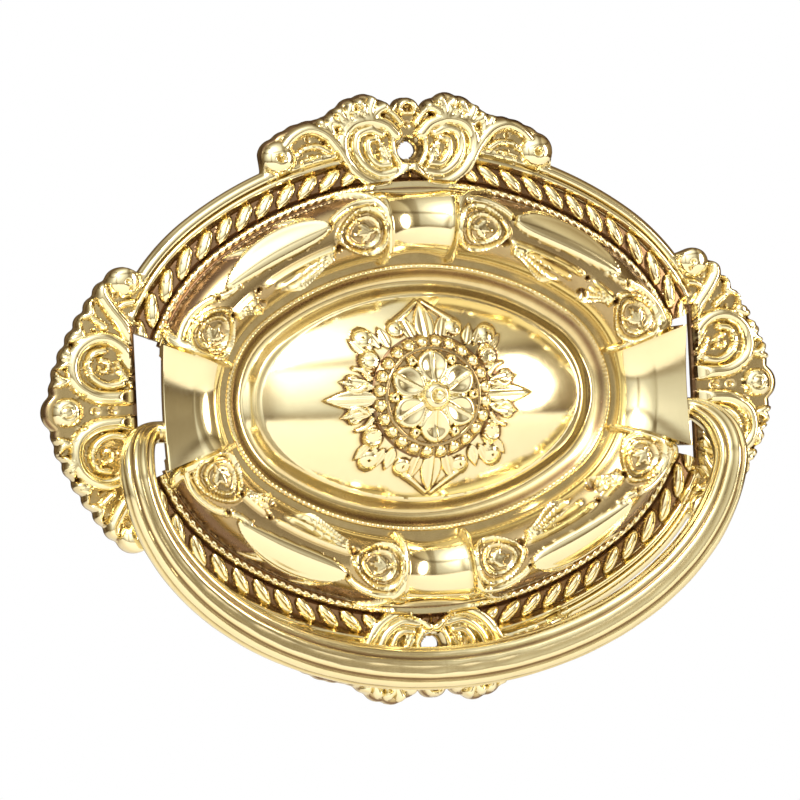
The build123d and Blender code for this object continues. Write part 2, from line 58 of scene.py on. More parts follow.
# Mouldings, as offsets from the crown line and heights above the back
RIM_REACH = 11.2
RIM_HEIGHT = 1.5
RING_RADIUS = 4.45
RING_OUTWARD = 0.25
RING_SPRING = 2.0
RING_TOP = RING_SPRING + RING_RADIUS
DOME_GAP = 8.9
DOME_FOOT = 1.7
DOME_RISE = 5.0

# Slots, bridges and screw holes
BRIDGE_EDGE = 35.35
BRIDGE_TOP = 7.05
SLOT_EDGE = BRIDGE_EDGE + 2.45
SLOT_HALF = 9.6
SCREW_REACH = 32.0
SCREW_RADIUS = 1.2

# Crests, and how high they may stand at each x where the raised bail's elbows pass over them
TOP_REACH = 39.5
SIDE_REACH = 50.0
CREST_HEIGHT = 2.1
CREST_BED = 0.35
CARVING_LOW, CARVING_HIGH = -0.9, 1.35
ELBOW_PASS = [38.6, 39.4, 40.2], [2.3, 2.6, 3.05]
ELBOW_PASS_HALF = 4.8

# Bail
BAIL_HALF_WIDTH = 40.15
BAIL_BOW_DROP = 28.85
BAIL_SHOULDER_DROP = 6.0
BAIL_HEIGHT = 6.1
BAIL_ARM_LIFT = 3.0
BAIL_ARM_WIDTH = 4.5
BAIL_BOW_WIDTH = 5.5
BAIL_DEPTH = 4.3
PIN_FACE = 35.85
PIN_LENGTH = 5.6
PIN_DROP = 3.0
PIN_HEIGHT = 3.8
PIN_RADIUS = 1.4
ELBOW_OUTWARD = 2.5
ELBOW_UPWARD = 5.0


class Oval:
    """A four-centred oval, known by the rays that cross it at right angles."""

    def __init__(self, half_width, half_height):
        diagonal = hypot(half_width, half_height)
        self.end_radius = diagonal * (diagonal - half_width + half_height) / (2 * half_width)
        self.flank_radius = diagonal * (diagonal + half_width - half_height) / (2 * half_height)
        self.end_centre = half_width - self.end_radius
        self.flank_centre = self.flank_radius - half_height
        self.turn = atan2(self.end_centre, self.flank_centre)

    def quarter(self, offset):
        """Length of a quarter of the oval at this offset."""
        flank = (self.flank_radius + offset) * self.turn
        return flank + (self.end_radius + offset) * (pi / 2 - self.turn)

    def rays(self, count, offset):
        """Feet on the oval and unit normals of rays that are evenly spaced at this offset."""
        quarter = self.quarter(offset)
        travel = np.arange(count) * 4 * quarter / count
        side = np.floor(travel / quarter + 1e-9).astype(int)
        within = travel - side * quarter
        within = np.where(side % 2 == 1, quarter - within, within)
        flank = (self.flank_radius + offset) * self.turn
        on_flank = within < flank
        flank_angle = within / (self.flank_radius + offset)
        end_angle = self.turn + (within - flank) / (self.end_radius + offset)
        angle = np.where(on_flank, flank_angle, end_angle)
        radius = np.where(on_flank, self.flank_radius, self.end_radius)
        x = np.where(on_flank, 0, self.end_centre) + radius * np.sin(angle)
        y = radius * np.cos(angle) - np.where(on_flank, self.flank_centre, 0)
        flips = np.stack([np.where(side > 1, -1, 1), np.where(side % 3 > 0, -1, 1)], -1)
        return np.stack([x, y], -1) * flips, np.stack([np.sin(angle), np.cos(angle)], -1) * flips

    def place(self, x, y):
        """Offset from the oval, and travel from its top along the crown line in the point's own quarter."""
        x, y = np.abs(x), np.abs(y)
        flank_angle = np.arctan2(x, y + self.flank_centre)
        end_angle = np.arctan2(x - self.end_centre, y)
        on_flank = flank_angle < self.turn
        from_flank = np.hypot(x, y + self.flank_centre) - self.flank_radius
        from_end = np.hypot(x - self.end_centre, y) - self.end_radius
        past_flank = self.flank_radius * self.turn + self.end_radius * (end_angle - self.turn)
        travel = np.where(on_flank, self.flank_radius * flank_angle, past_flank)
        return np.where(on_flank, from_flank, from_end), travel


oval = Oval(OVAL_HALF_WIDTH, OVAL_HALF_HEIGHT)
QUARTER = oval.quarter(0)


def ease(value, start, end):
    """A smooth step from 0 at start to 1 at end."""
    share = np.clip((value - start) / (end - start), 0, 1)
    return share * share * (3 - 2 * share)


def ridge(distance, half):
    """A half-round ridge's height, from 1 on its line to 0 at its edges."""
    return np.sqrt(np.clip(1 - (distance / half) ** 2, 0, 1))


def bump(distance, half):
    """A soft bell, from 1 on its line to 0 at its edges."""
    return 1 - ease(np.abs(distance), 0, half)


def to_segment(x, y, start, end):
    """Distance to a straight run, and how far along it the nearest point is, from 0 to 1."""
    run = np.subtract(end, start)
    share = np.clip(((x - start[0]) * run[0] + (y - start[1]) * run[1]) / (run @ run), 0, 1)
    return np.hypot(x - start[0] - share * run[0], y - start[1] - share * run[1]), share


def waves(x, y, size, seed):
    """Gentle random waves, from -1 to 1, of about this size across."""
    numbers = np.random.default_rng(seed)
    total = 0
    for _ in range(9):
        angle, phase = numbers.uniform(0, 2 * pi, 2)
        pitch = 2 * pi / (size * numbers.uniform(0.7, 1.6))
        total = total + np.sin((x * cos(angle) + y * sin(angle)) * pitch + phase)
    return total / 5


def along(points, steps=10):
    """Points on a smooth curve through these points."""
    points = np.array(points, float)
    ends = np.vstack([2 * points[0] - points[1], points, 2 * points[-1] - points[-2]])
    share = np.linspace(0, 1, steps, endpoint=False)[:, None]
    runs = []
    for before, start, end, after in zip(ends, ends[1:], ends[2:], ends[3:]):
        slope_in, slope_out = (end - before) / 2, (after - start) / 2
        runs.append(
            start * (2 * share**3 - 3 * share**2 + 1)
            + slope_in * (share**3 - 2 * share**2 + share)
            + end * (3 * share**2 - 2 * share**3)
            + slope_out * (share**3 - share**2)
        )
    return np.vstack(runs + [points[-1:]])


def stroke(x, y, points, half, rise, taper=1.0):
    """A half-round ridge along a curve. Its half width and rise shrink to the taper's share at its end."""
    curve = along(points)
    height = np.zeros_like(x)
    low, high = curve.min(0) - half, curve.max(0) + half
    near = (x > low[0]) & (x < high[0]) & (y > low[1]) & (y < high[1])
    if not near.any():
        return height
    px, py, best = x[near], y[near], np.zeros(near.sum())
    count = len(curve) - 1
    for number in range(count):
        distance, share = to_segment(px, py, curve[number], curve[number + 1])
        size = 1 - (1 - taper) * (number + share) / count
        best = np.maximum(best, rise * size * ridge(distance, half * size))
    height[near] = best
    return height


def curl(x, y, centre, radius, start, sweep, half, rise, taper=0.5):
    """A ridge that coils in towards its centre, from a start angle through a sweep, in degrees."""
    turns = np.radians(np.linspace(start, start + sweep, max(4, int(abs(sweep) / 40))))
    reach = np.linspace(radius, radius * taper * 0.7, len(turns))
    points = np.stack([centre[0] + reach * np.cos(turns), centre[1] + reach * np.sin(turns)], -1)
    return stroke(x, y, points, half, rise, taper)


def boss(x, y, centre, radius, rise, pit=0.0):
    """A round boss with a dimple of this share of its radius."""
    distance = np.hypot(x - centre[0], y - centre[1])
    top = rise * ridge(distance, radius)
    if pit:
        top = top - 0.8 * rise * bump(distance, pit * radius)
    return top


def petal(x, y, centre, angle, length, width, rise, rib=0.35):
    """A pointed cupped leaf with a raised edge and a midrib, lying from its centre at this angle."""
    turn = radians(angle)
    run = (x - centre[0]) * cos(turn) + (y - centre[1]) * sin(turn)
    across = -(x - centre[0]) * sin(turn) + (y - centre[1]) * cos(turn)
    share = run / length
    half = width / 2 * np.sin(pi * np.clip(share, 0, 1) ** 0.8) + 1e-6
    inside = (share > 0) & (share < 1) & (np.abs(across) < half)
    level = np.abs(across) / half
    form = np.sqrt(np.clip(1 - level**4, 0, 1)) * (0.55 + 0.45 * level**2) + rib * bump(across, 0.16 * width)
    return np.where(inside, rise * form * np.sqrt(np.clip(1 - share**6, 0, 1)), 0)


def polygon_depth(x, y, corners):
    """How far inside a polygon each point is, negative outside."""
    corners = np.array(corners, float)
    inside = np.zeros(x.shape, bool)
    nearest = np.full(x.shape, 1e9)
    for start, end in zip(corners, np.roll(corners, -1, 0)):
        crosses = (start[1] > y) != (end[1] > y)
        with np.errstate(divide="ignore", invalid="ignore"):
            at = (end[0] - start[0]) * (y - start[1]) / (end[1] - start[1]) + start[0]
        inside ^= crosses & (x < at)
        nearest = np.minimum(nearest, to_segment(x, y, start, end)[0])
    return np.where(inside, nearest, -nearest)


TUFT_SPREAD = 42
PIT_DEPTH = 0.5

# Outlines of the crests' right upper parts: bodies, then lobes as centre and radius
TOP_BODY = [(-3, 27.8), (0, 29.3), (3, 27.8), (6.1, 27.5), (8.3, 29), (10, 31.9), (14, 31.0), (18.5, 29.9),
            (17.5, 32.5), (11.8, 34.5), (6, 37.5), (0, 37.5), (-6, 37.5)]
TOP_LOBES = [(0.3, 37.3, 1.6), (3.9, 36.8, 2.0), (5.6, 37.5, 2.0), (7.3, 37.0, 2.0), (8.9, 35.9, 1.9),
             (10.4, 34.6, 2.2), (11.6, 34.0, 2.4), (13.0, 33.7, 2.5), (14.4, 33.3, 2.5), (16.0, 32.5, 2.5),
             (17.6, 31.6, 2.4)]
SIDE_BODY = [(37.6, -9), (37.6, 9.6), (36.9, 10.8), (38.1, 12), (36.1, 17.2), (39, 16.6), (42, 14.6), (45.6, 8),
             (48.2, 2.4), (48.8, 0), (48.2, -2.4), (45.6, -8)]
SIDE_LOBES = [(47.5, 0, 2.5), (47.3, 2.9, 1.6), (47.0, 4.8, 1.5), (46.0, 6.9, 1.6), (45.0, 9.0, 1.5),
              (43.7, 11.0, 1.6), (42.3, 13.0, 1.6), (40.9, 14.8, 1.7), (38.8, 15.9, 2.3)]


def crest_depth(x, y):
    """How far inside a crest each point is, negative outside, and whether that crest is a side one."""
    x, y = np.abs(x), np.abs(y)
    depths = []
    for body, lobes in ((TOP_BODY, TOP_LOBES), (SIDE_BODY, SIDE_LOBES)):
        depth = polygon_depth(x, y, body)
        for lobe_x, lobe_y, radius in lobes:
            depth = np.maximum(depth, radius - np.hypot(x - lobe_x, y - lobe_y))
        depths.append(depth)
    top, side = depths
    return np.maximum(top, side), side > top


def leafy(x, y, centre, angle, size, count, rise):
    """A tuft of small round-ended leaves that fan out from a centre at this angle."""
    height = np.zeros_like(x)
    centre = np.array(centre)
    for number in range(count):
        turn = radians(angle + TUFT_SPREAD * (number - (count - 1) / 2))
        heading = np.array([cos(turn), sin(turn)])
        tip = centre + size * heading
        middle = (centre + tip) / 2 + 0.1 * size * heading[::-1] * (1, -1)
        height = np.maximum(height, stroke(x, y, [centre, middle, tip], 0.3 * size, rise))
    return height


def carving(x, y, forms, pits=(), more=0):
    """The highest of these forms, listed under the function that makes them, less round pits."""
    height = np.maximum(np.zeros_like(x), more)
    for form, rows in forms.items():
        for row in rows:
            height = np.maximum(height, form(x, y, *row))
    for pit_x, pit_y, radius in pits:
        height = height - PIT_DEPTH * bump(np.hypot(x - pit_x, y - pit_y), radius)
    return height


def top_carving(x, y):
    """Relief of the top and bottom crests, on their right upper half."""
    fan = [(0.5, 29.6), (2.2, 28.0), (4.6, 27.6), (7.0, 28.8), (8.6, 31.0), (9.0, 33.4), (7.7, 35.3),
           (5.4, 35.9), (3.1, 35.3), (1.7, 34.0)]
    inner_fan = [(2.0, 29.2), (4.2, 28.9), (6.1, 30.1), (7.2, 32.0), (6.9, 34.0), (5.2, 34.7), (3.6, 34.1)]
    core_fan = [(2.8, 30.2), (4.3, 30.2), (5.4, 31.5), (5.5, 33.1), (4.4, 33.5)]
    wing = [(8.4, 30.4), (9.6, 32.4), (11.4, 34.3), (13.6, 34.9), (15.6, 34.0), (16.9, 32.6)]
    return carving(x, y, {
        stroke: [
            (fan, 1.05, 1.25, 0.85), (inner_fan, 0.75, 1.05, 0.8),
            (core_fan, 0.6, 0.9, 0.8), (wing, 0.95, 1.25, 0.75),
            ([(1.4, 30.2), (2.1, 31.6), (2.2, 33.2), (1.9, 34.4)], 0.5, 1.0, 0.8),
            ([(10.4, 31.6), (12.2, 32.6), (14.0, 32.5), (15.2, 31.6)], 0.5, 0.85, 0.7),
            ([(10.9, 30.9), (12.8, 31.3), (14.6, 30.7)], 0.4, 0.7, 0.7),
            ([(1.0, 35.5), (1.9, 36.6), (2.9, 37.3)], 0.5, 0.95, 0.8),
        ],
        petal: [((2.7, 30.0), 68, 3.9, 1.5, 1.0, 0.3)],
        boss: [((17.5, 31.3), 2.2, 1.3, 0.33)],
        curl: [((0.2, 37.3), 1.25, 200, -330, 0.55, 1.15), ((6.3, 37.7), 0.9, 300, -300, 0.45, 1.25)],
        leafy: [
            ((5.0, 36.0), 78, 2.5, 4, 1.1), ((7.8, 35.4), 52, 2.4, 3, 1.0), ((10.3, 34.3), 68, 2.0, 2, 0.9),
        ],
    }, (
        (3.3, 36.6, 0.5), (6.2, 37.5, 0.35), (7.7, 36.6, 0.4), (9.5, 35.0, 0.45), (0.2, 37.3, 0.45),
        (0.0, 35.3, 0.5), (9.2, 34.4, 0.5), (4.1, 31.8, 0.4), (11.4, 33.2, 0.4), (13.6, 33.6, 0.4),
    ))


def side_carving(x, y):
    """Relief of the left and right crests, on their right upper half."""
    scroll = [(37.9, 1.7), (40.5, 1.6), (43.2, 1.9), (45.4, 3.4), (46.0, 5.6), (45.2, 7.8), (43.2, 9.1),
              (41.0, 9.0), (39.2, 7.7), (38.2, 6.0)]
    inner = [(39.6, 3.4), (41.6, 3.2), (43.4, 4.2), (44.0, 5.8), (43.2, 7.3), (41.8, 7.6)]
    outer = [(38.2, 9.2), (39.2, 10.9), (40.5, 12.6), (41.6, 14.4), (41.9, 15.6)]
    knob = boss(x, y, (46.9, 0), 1.9, 1.25, 0.62) + boss(x, y, (46.9, 0), 0.7, 0.9)
    return carving(x, y, {
        stroke: [
            (scroll, 1.0, 1.3, 0.85), (inner, 0.6, 1.05, 0.8), (outer, 1.05, 1.3, 0.9),
            ([(38.2, 3.2), (39.4, 4.4), (40.2, 6.0)], 0.5, 0.9, 0.7),
            ([(38.1, 4.6), (39.0, 5.8), (39.8, 7.0)], 0.4, 0.8, 0.7),
            ([(41.6, 10.6), (42.6, 11.4), (43.6, 12.2)], 0.5, 0.9, 0.8),
            ([(36.6, 9.8), (36.8, 11.2), (36.2, 12.4), (34.9, 12.2)], 0.75, 0.9, 0.8),
            ([(37.6, 13.6), (38.9, 13.4), (39.9, 12.8)], 0.5, 0.8, 0.8),
        ],
        curl: [((42.2, 5.5), 1.0, 80, 300, 0.42, 1.0)],
        boss: [((38.7, 16.4), 2.2, 1.3)],
        leafy: [
            ((43.2, 12.4), 42, 2.0, 3, 1.0), ((44.6, 9.7), 32, 2.0, 3, 1.05),
            ((46.0, 6.6), 22, 1.9, 3, 1.05), ((46.9, 3.9), 12, 1.7, 2, 1.0),
        ],
    }, (
        (44.9, 2.0, 0.5), (45.9, 8.6, 0.35), (44.6, 10.6, 0.35), (42.9, 13.6, 0.4), (38.4, 16.2, 0.5),
        (38.0, 15.4, 0.4), (47.0, 5.6, 0.35), (41.0, 5.0, 0.5), (39.8, 14.6, 0.5), (43.0, 10.2, 0.4),
        (41.0, 0.0, 0.7), (43.2, 0.0, 0.6),
    ), knob)


# Mouldings outside the ring, as offsets and heights
LINE_INNER = 4.75
LINE_MIDDLE = 5.25
COVE_INNER = 5.75
COVE_OUTER = 8.65
RIM_INNER = 9.0
COVE_LOW = 1.15
COVE_HIGH = 1.75
BEAD_OFFSET = 7.3
BEAD_PITCH = 2.7
BEAD_TWIST = 40
BEAD_HALF_LENGTH = 1.85
BEAD_HALF_WIDTH = 0.78
BEAD_RISE = 1.05
RIM_RIDGE = 10.3
RIM_GROOVE = 9.68
EDGE_ROLL = 0.9


def rope(offset, travel):
    """Relief of the rope's slanted beads, whose outer ends lean to the top and the bottom."""
    count = round(QUARTER / BEAD_PITCH)
    pitch = QUARTER / count
    height = np.zeros_like(offset)
    turn = radians(BEAD_TWIST)
    nearest = np.floor(travel / pitch)
    out = offset - BEAD_OFFSET
    for step in (-1, 0, 1):
        run = travel - (nearest + step + 0.5) * pitch
        lengthwise = -run * cos(turn) + out * sin(turn)
        across = run * sin(turn) + out * cos(turn)
        level = (lengthwise / BEAD_HALF_LENGTH) ** 2 + (across / BEAD_HALF_WIDTH) ** 2
        height = np.maximum(height, BEAD_RISE * np.sqrt(np.clip(1 - level, 0, 1)))
    return height


def field_height(x, y, edge):
    """Height, relief and painted shade of the plate outside the ring. The edge is how far in from the outline
    it is.
    """
    offset, travel = oval.place(x, y)
    x, y = np.abs(x), np.abs(y)
    floor = np.interp(offset, [COVE_INNER, COVE_OUTER, RIM_INNER], [COVE_HIGH, COVE_LOW, RIM_HEIGHT])
    fine = ridge(offset - LINE_MIDDLE, 0.42) * (0.75 + 0.25 * np.cos(2 * pi * travel + 5 * offset))
    fine = fine * ease(x, 4.5, 6.5)
    beads = rope(offset, travel)
    rim = 0.3 * ridge(offset - RIM_RIDGE, 0.6) + 0.3 * ridge(offset - 9.15, 0.4)
    groove = offset - RIM_GROOVE
    sunk = 0.35 * bump(offset - 8.55, 0.35) + 0.35 * bump(offset - 5.95, 0.3) + 0.25 * bump(groove, 0.2)
    plain = floor + 0.42 * fine + beads + rim - sunk
    # Painted shade on the cove between the beads, in the rim's groove and along the ring's foot
    in_cove = ease(offset, 5.5, 5.8) * (1 - ease(offset, 8.5, 8.8))
    painted_shade = 0.8 * in_cove * (1 - ease(beads, 0.1, 0.55))
    painted_shade = painted_shade + 0.65 * bump(groove, 0.22) + 0.5 * bump(offset - 4.85, 0.25)

    depth, at_side = crest_depth(x, y)
    share = ease(depth, -0.12, 0.2)
    beside_slot = at_side & (y < SLOT_HALF + 1)
    from_slot = ease(np.where(beside_slot, x - SLOT_EDGE, SIDE_REACH), 0.15, 0.9)
    carved = np.where(at_side, side_carving(x, y), top_carving(x, y)) * from_slot
    crest = CREST_HEIGHT - CREST_BED + np.clip(carved, CARVING_LOW, CARVING_HIGH)
    height = plain * (1 - share) + crest * share
    under_elbow = np.interp(x, *ELBOW_PASS) + 1.5 * ease(y, ELBOW_PASS_HALF, ELBOW_PASS_HALF + 1)
    height = np.where(at_side, np.minimum(height, under_elbow), height)
    height = height - EDGE_ROLL * (1 - ridge(1 - np.clip(edge / EDGE_ROLL, 0, 1), 1))
    height = height - bump(np.maximum(np.hypot(x, y - SCREW_REACH) - SCREW_RADIUS, 0), 0.7)
    # Painted shade in the crests' hollows, beside the slots and near the outline's edge
    hollow = 0.52 * ease(0.5 - carved, 0, 0.45) + 0.3 * (1 - from_slot)
    painted_shade = painted_shade * (1 - share) + hollow * share + 0.25 * ease(0.55 - edge, 0, 0.3)
    relief = (fine * 0.4 + beads + rim) * (1 - share) + 0.6 * carved * share
    return height, relief, painted_shade


def stand(points):
    """Lying points, in millimetres, as places in the frame, in metres."""
    points = np.asarray(points, float)
    return np.stack([points[..., 0], -points[..., 2], points[..., 1]], -1) * MM


def placed(name, data):
    """A new object in the scene with this mesh, lamp or camera."""
    made = bpy.data.objects.new(name, data)
    bpy.context.collection.objects.link(made)
    return made


def solid_piece(name, points, quads, caps, tarnish, sharp=35):
    """One closed mesh, turned outwards, with its tarnish and painted shade as a number from 0 to 1 on each
    point.
    """
    places = stand(points)
    corners = places[quads]
    volume = 0
    for second, third in ((1, 2), (2, 3)):
        volume += (corners[:, 0] * np.cross(corners[:, second], corners[:, third])).sum()
    faces = quads.tolist() + [list(cap) for cap in caps]
    if volume < 0:
        faces = [face[::-1] for face in faces]
    mesh = bpy.data.meshes.new(name)
    mesh.from_pydata(places.tolist(), [], faces)
    mesh.shade_smooth()
    mesh.set_sharp_from_angle(angle=radians(sharp))
    shade = mesh.attributes.new("tarnish", "FLOAT", "POINT")
    shade.data.foreach_set("value", np.clip(tarnish, 0, 1).astype(np.float32))
    mesh.update()
    return placed(name, mesh)


def blurred(values, times, wrap):
    """Values smoothed over their neighbours, round the rows where they join up."""
    for _ in range(times):
        rows = np.pad(values, ((1, 1), (0, 0)), "wrap" if wrap else "edge")
        values = (rows[:-2] + 2 * rows[1:-1] + rows[2:]) / 4
        columns = np.pad(values, ((0, 0), (1, 1)), "edge")
        values = (columns[:, :-2] + 2 * columns[:, 1:-1] + columns[:, 2:]) / 4
    return values


def recess(relief, wrap=False, times=10):
    """How deep each point lies below its surroundings, as tarnish and painted shade from 0 to 1."""
    deep = blurred(relief, times, wrap) - relief
    return np.clip(0.04 + 1.5 * deep, 0, 0.75)


def shell(name, front, back, keep, tarnish):
    """A closed sheet between two grids of points, with walls round the cells that are kept."""
    rows, columns = front.shape[:2]
    index = np.arange(rows * columns).reshape(rows, columns)
    low, right = index[:-1, :-1][keep], index[:-1, 1:][keep]
    up, high = index[1:, :-1][keep], index[1:, 1:][keep]
    total = rows * columns
    quads = [np.stack([low, right, high, up], -1), np.stack([low, up, high, right], -1) + total]
    padded = np.pad(keep, 1)
    for shift, first, second in (
        ((0, -1), (0, 0), (1, 0)),
        ((0, 1), (1, 1), (0, 1)),
        ((-1, 0), (0, 1), (0, 0)),
        ((1, 0), (1, 0), (1, 1)),
    ):
        beside = np.roll(padded, (-shift[0], -shift[1]), (0, 1))[1:-1, 1:-1]
        at_row, at_column = np.nonzero(keep & ~beside)
        start = index[at_row + first[0], at_column + first[1]]
        end = index[at_row + second[0], at_column + second[1]]
        quads.append(np.stack([start, end, end + total, start + total], -1))
    quads = np.concatenate(quads)
    points = np.concatenate([front.reshape(-1, 3), back.reshape(-1, 3)])
    shade = np.concatenate([tarnish.reshape(-1), np.full(total, BACK_DARKNESS)])
    used = np.unique(quads)
    renumber = np.zeros(len(points), int)
    renumber[used] = np.arange(len(used))
    return solid_piece(name, points[used], renumber[quads], (), shade[used])


def tube(name, loops, tarnish, closed=True, sharp=35):
    """A closed mesh from rows of points that each go round it; the rows join up, or the ends are capped."""
    rows, columns = loops.shape[:2]
    index = np.arange(rows * columns).reshape(rows, columns)
    over = np.roll(index, -1, 1)
    quads = np.stack([index, over, np.roll(over, -1, 0), np.roll(index, -1, 0)], -1)
    caps = ()
    if not closed:
        quads = quads[:-1]
        caps = index[0][::-1].tolist(), index[-1].tolist()
    return solid_piece(name, loops.reshape(-1, 3), quads.reshape(-1, 4), caps, tarnish.reshape(-1), sharp)


def band(name, front, back, tarnish):
    """A closed sheet right round the oval, from rows of points over its front and then its back."""
    tarnish = np.concatenate([tarnish, np.full(back.shape[:2], BACK_DARKNESS)], 1)
    return tube(name, np.concatenate([front, back], 1), tarnish)


# Plate outside the ring, in four sectors that meet on the plain rim between the crests
FIELD_RAYS = 1640
FIELD_INNER_CELLS = 24
FIELD_OUTER_CELLS = 40
EVEN_OFFSET = 8
SEAM_X, SEAM_Y = 28.7, 24.7
SEAM_COLUMN = 40
CREST_OFFSET = 20.5
SLOT_LEAST = 6.0
FLATTEST = 0.05
SCREW_MARGIN = 0.12


def outline_reach(feet, normals):
    """Offset of the outline on each ray: the rim, or the far side of a crest's lobes."""
    tries = np.arange(RIM_REACH, CREST_OFFSET, 0.04)
    points = feet[:, None] + normals[:, None] * tries[None, :, None]
    depth = crest_depth(points[..., 0], points[..., 1])[0]
    reach = np.where(depth > 0, tries, RIM_REACH).max(1)
    for axis, limit in enumerate((SIDE_REACH, TOP_REACH)):
        lean = np.abs(normals[:, axis])
        room = (limit - np.abs(feet[:, axis])) / np.maximum(lean, FLATTEST)
        reach = np.where(lean > FLATTEST, np.minimum(reach, room), reach)
    around = np.concatenate([reach[-2:], reach, reach[:2]])
    return (around[:-4] + 2 * around[1:-3] + 2 * around[2:-2] + 2 * around[3:-1] + around[4:]) / 8


def slot_line(feet, normals):
    """Offset at which each ray meets the slot's outer edge, held beyond the slot's ends."""
    line = (SLOT_EDGE - np.abs(feet[:, 0])) / np.maximum(np.abs(normals[:, 0]), FLATTEST)
    at_end = hypot(SLOT_EDGE - oval.end_centre, SLOT_HALF) - oval.end_radius
    return np.clip(line, SLOT_LEAST, at_end)


def field():
    """The sheet outside the ring, with its rope, rim and crests, as four pieces."""
    feet, normals = oval.rays(FIELD_RAYS, EVEN_OFFSET)
    reach = outline_reach(feet, normals)
    middle = slot_line(feet, normals)
    inner = np.linspace(0, 1, FIELD_INNER_CELLS + 1)
    outer = 1 - (1 - np.linspace(0, 1, FIELD_OUTER_CELLS + 1)[1:]) ** 1.15
    offsets = np.concatenate([
        LINE_INNER + (middle - LINE_INNER)[:, None] * inner,
        middle[:, None] + (reach - middle)[:, None] * outer,
    ], 1)
    points = feet[:, None] + normals[:, None] * offsets[..., None]
    x, y = points[..., 0], points[..., 1]
    from_screw = np.hypot(x, np.abs(y) - SCREW_REACH)
    on_wall = (from_screw < SCREW_RADIUS + 0.09) & (from_screw > SCREW_RADIUS - SCREW_MARGIN)
    push = np.where(on_wall, SCREW_RADIUS / np.maximum(from_screw, 0.1), 1)
    screw_y = np.sign(y) * SCREW_REACH
    x, y = x * push, screw_y + (y - screw_y) * push
    edge = reach[:, None] - offsets
    height, relief, painted_shade = field_height(x, y, edge)
    front = np.stack([x, y, height], -1)
    low = np.minimum(blurred(height - np.maximum(relief, 0), 12, True), height) - SHEET
    low = np.clip(low, 0, None) * ease(edge, 0.3, 0.9)
    low = np.minimum(low, height - 0.25)
    back = np.stack([x, y, low], -1)
    # Tarnish in the hollows, with the painted shade laid over it
    tarnish = np.maximum(recess(relief, True), painted_shade)
    cell_x, cell_y = ((values[:, :-1] + np.roll(values, -1, 0)[:, 1:]) / 2 for values in (x, y))
    keep = np.hypot(cell_x, np.abs(cell_y) - SCREW_REACH) > SCREW_RADIUS - 0.02
    slot = (np.abs(y[:, FIELD_INNER_CELLS]) < SLOT_HALF) & (np.abs(x[:, 0]) > OVAL_HALF_WIDTH)
    keep[slot, :FIELD_INNER_CELLS] = False
    seams = []
    for sign_x, sign_y in ((1, 1), (1, -1), (-1, -1), (-1, 1)):
        from_seam = np.hypot(x[:, SEAM_COLUMN] - sign_x * SEAM_X, y[:, SEAM_COLUMN] - sign_y * SEAM_Y)
        seams.append(int(np.argmin(from_seam)))
    pieces = []
    for name, start, end in zip(("right", "bottom", "left", "top"), seams, seams[1:] + seams[:1]):
        rows = np.arange(start, start + (end - start) % FIELD_RAYS + 1) % FIELD_RAYS
        pieces.append(shell(f"plate_field_{name}", front[rows], back[rows], keep[rows[:-1]], tarnish[rows]))
    return pieces


# Hollow ring with its bands, collars, buds and leaves
RING_RAYS = 1100
RING_CELLS = 74
BAND_HALF = 4.0
BAND_DIP = 1.1
SIDE_HALF = 6.2
FLANK_BUD = 8.3
SIDE_BUD = 32.6
FLANK_SQUEEZE = 0.45
STEP_OFFSET = -5.0
HOLLOW_FOOT = 1.1
BUD_HALF_LENGTH = 3.3
BUD_LEAVES = (-1.9, 0, 3.4), (-1.0, 40, 2.0), (-1.0, -40, 2.0)
BUD_FRAME = [(-3.2, 3.6), (-0.5, 4.0), (2.4, 3.1), (4.6, 1.6), (6.6, 1.2)]
LEAF_START, LEAF_LENGTH = 12.2, 15.2

# The roof over each pin: the share of the outer half that runs level, the drop of its edge beside the pin,
# and how far along the slot the ring is trimmed to the bridge's edge
ROOF_REACH = 0.72
ROOF_DROP = 2.0
TRIM_HALF = 8.0


# Pits in the leaves, painted dark as shade, as travel, arc length outwards and radius
RING_PITS = [(11.7, -1.6, 0.75), (12.0, 1.7, 0.5), (24.8, -3.6, 0.9), (29.4, -1.2, 0.6), (24.2, -1.4, 0.45),
             (28.9, 1.6, 0.5)]


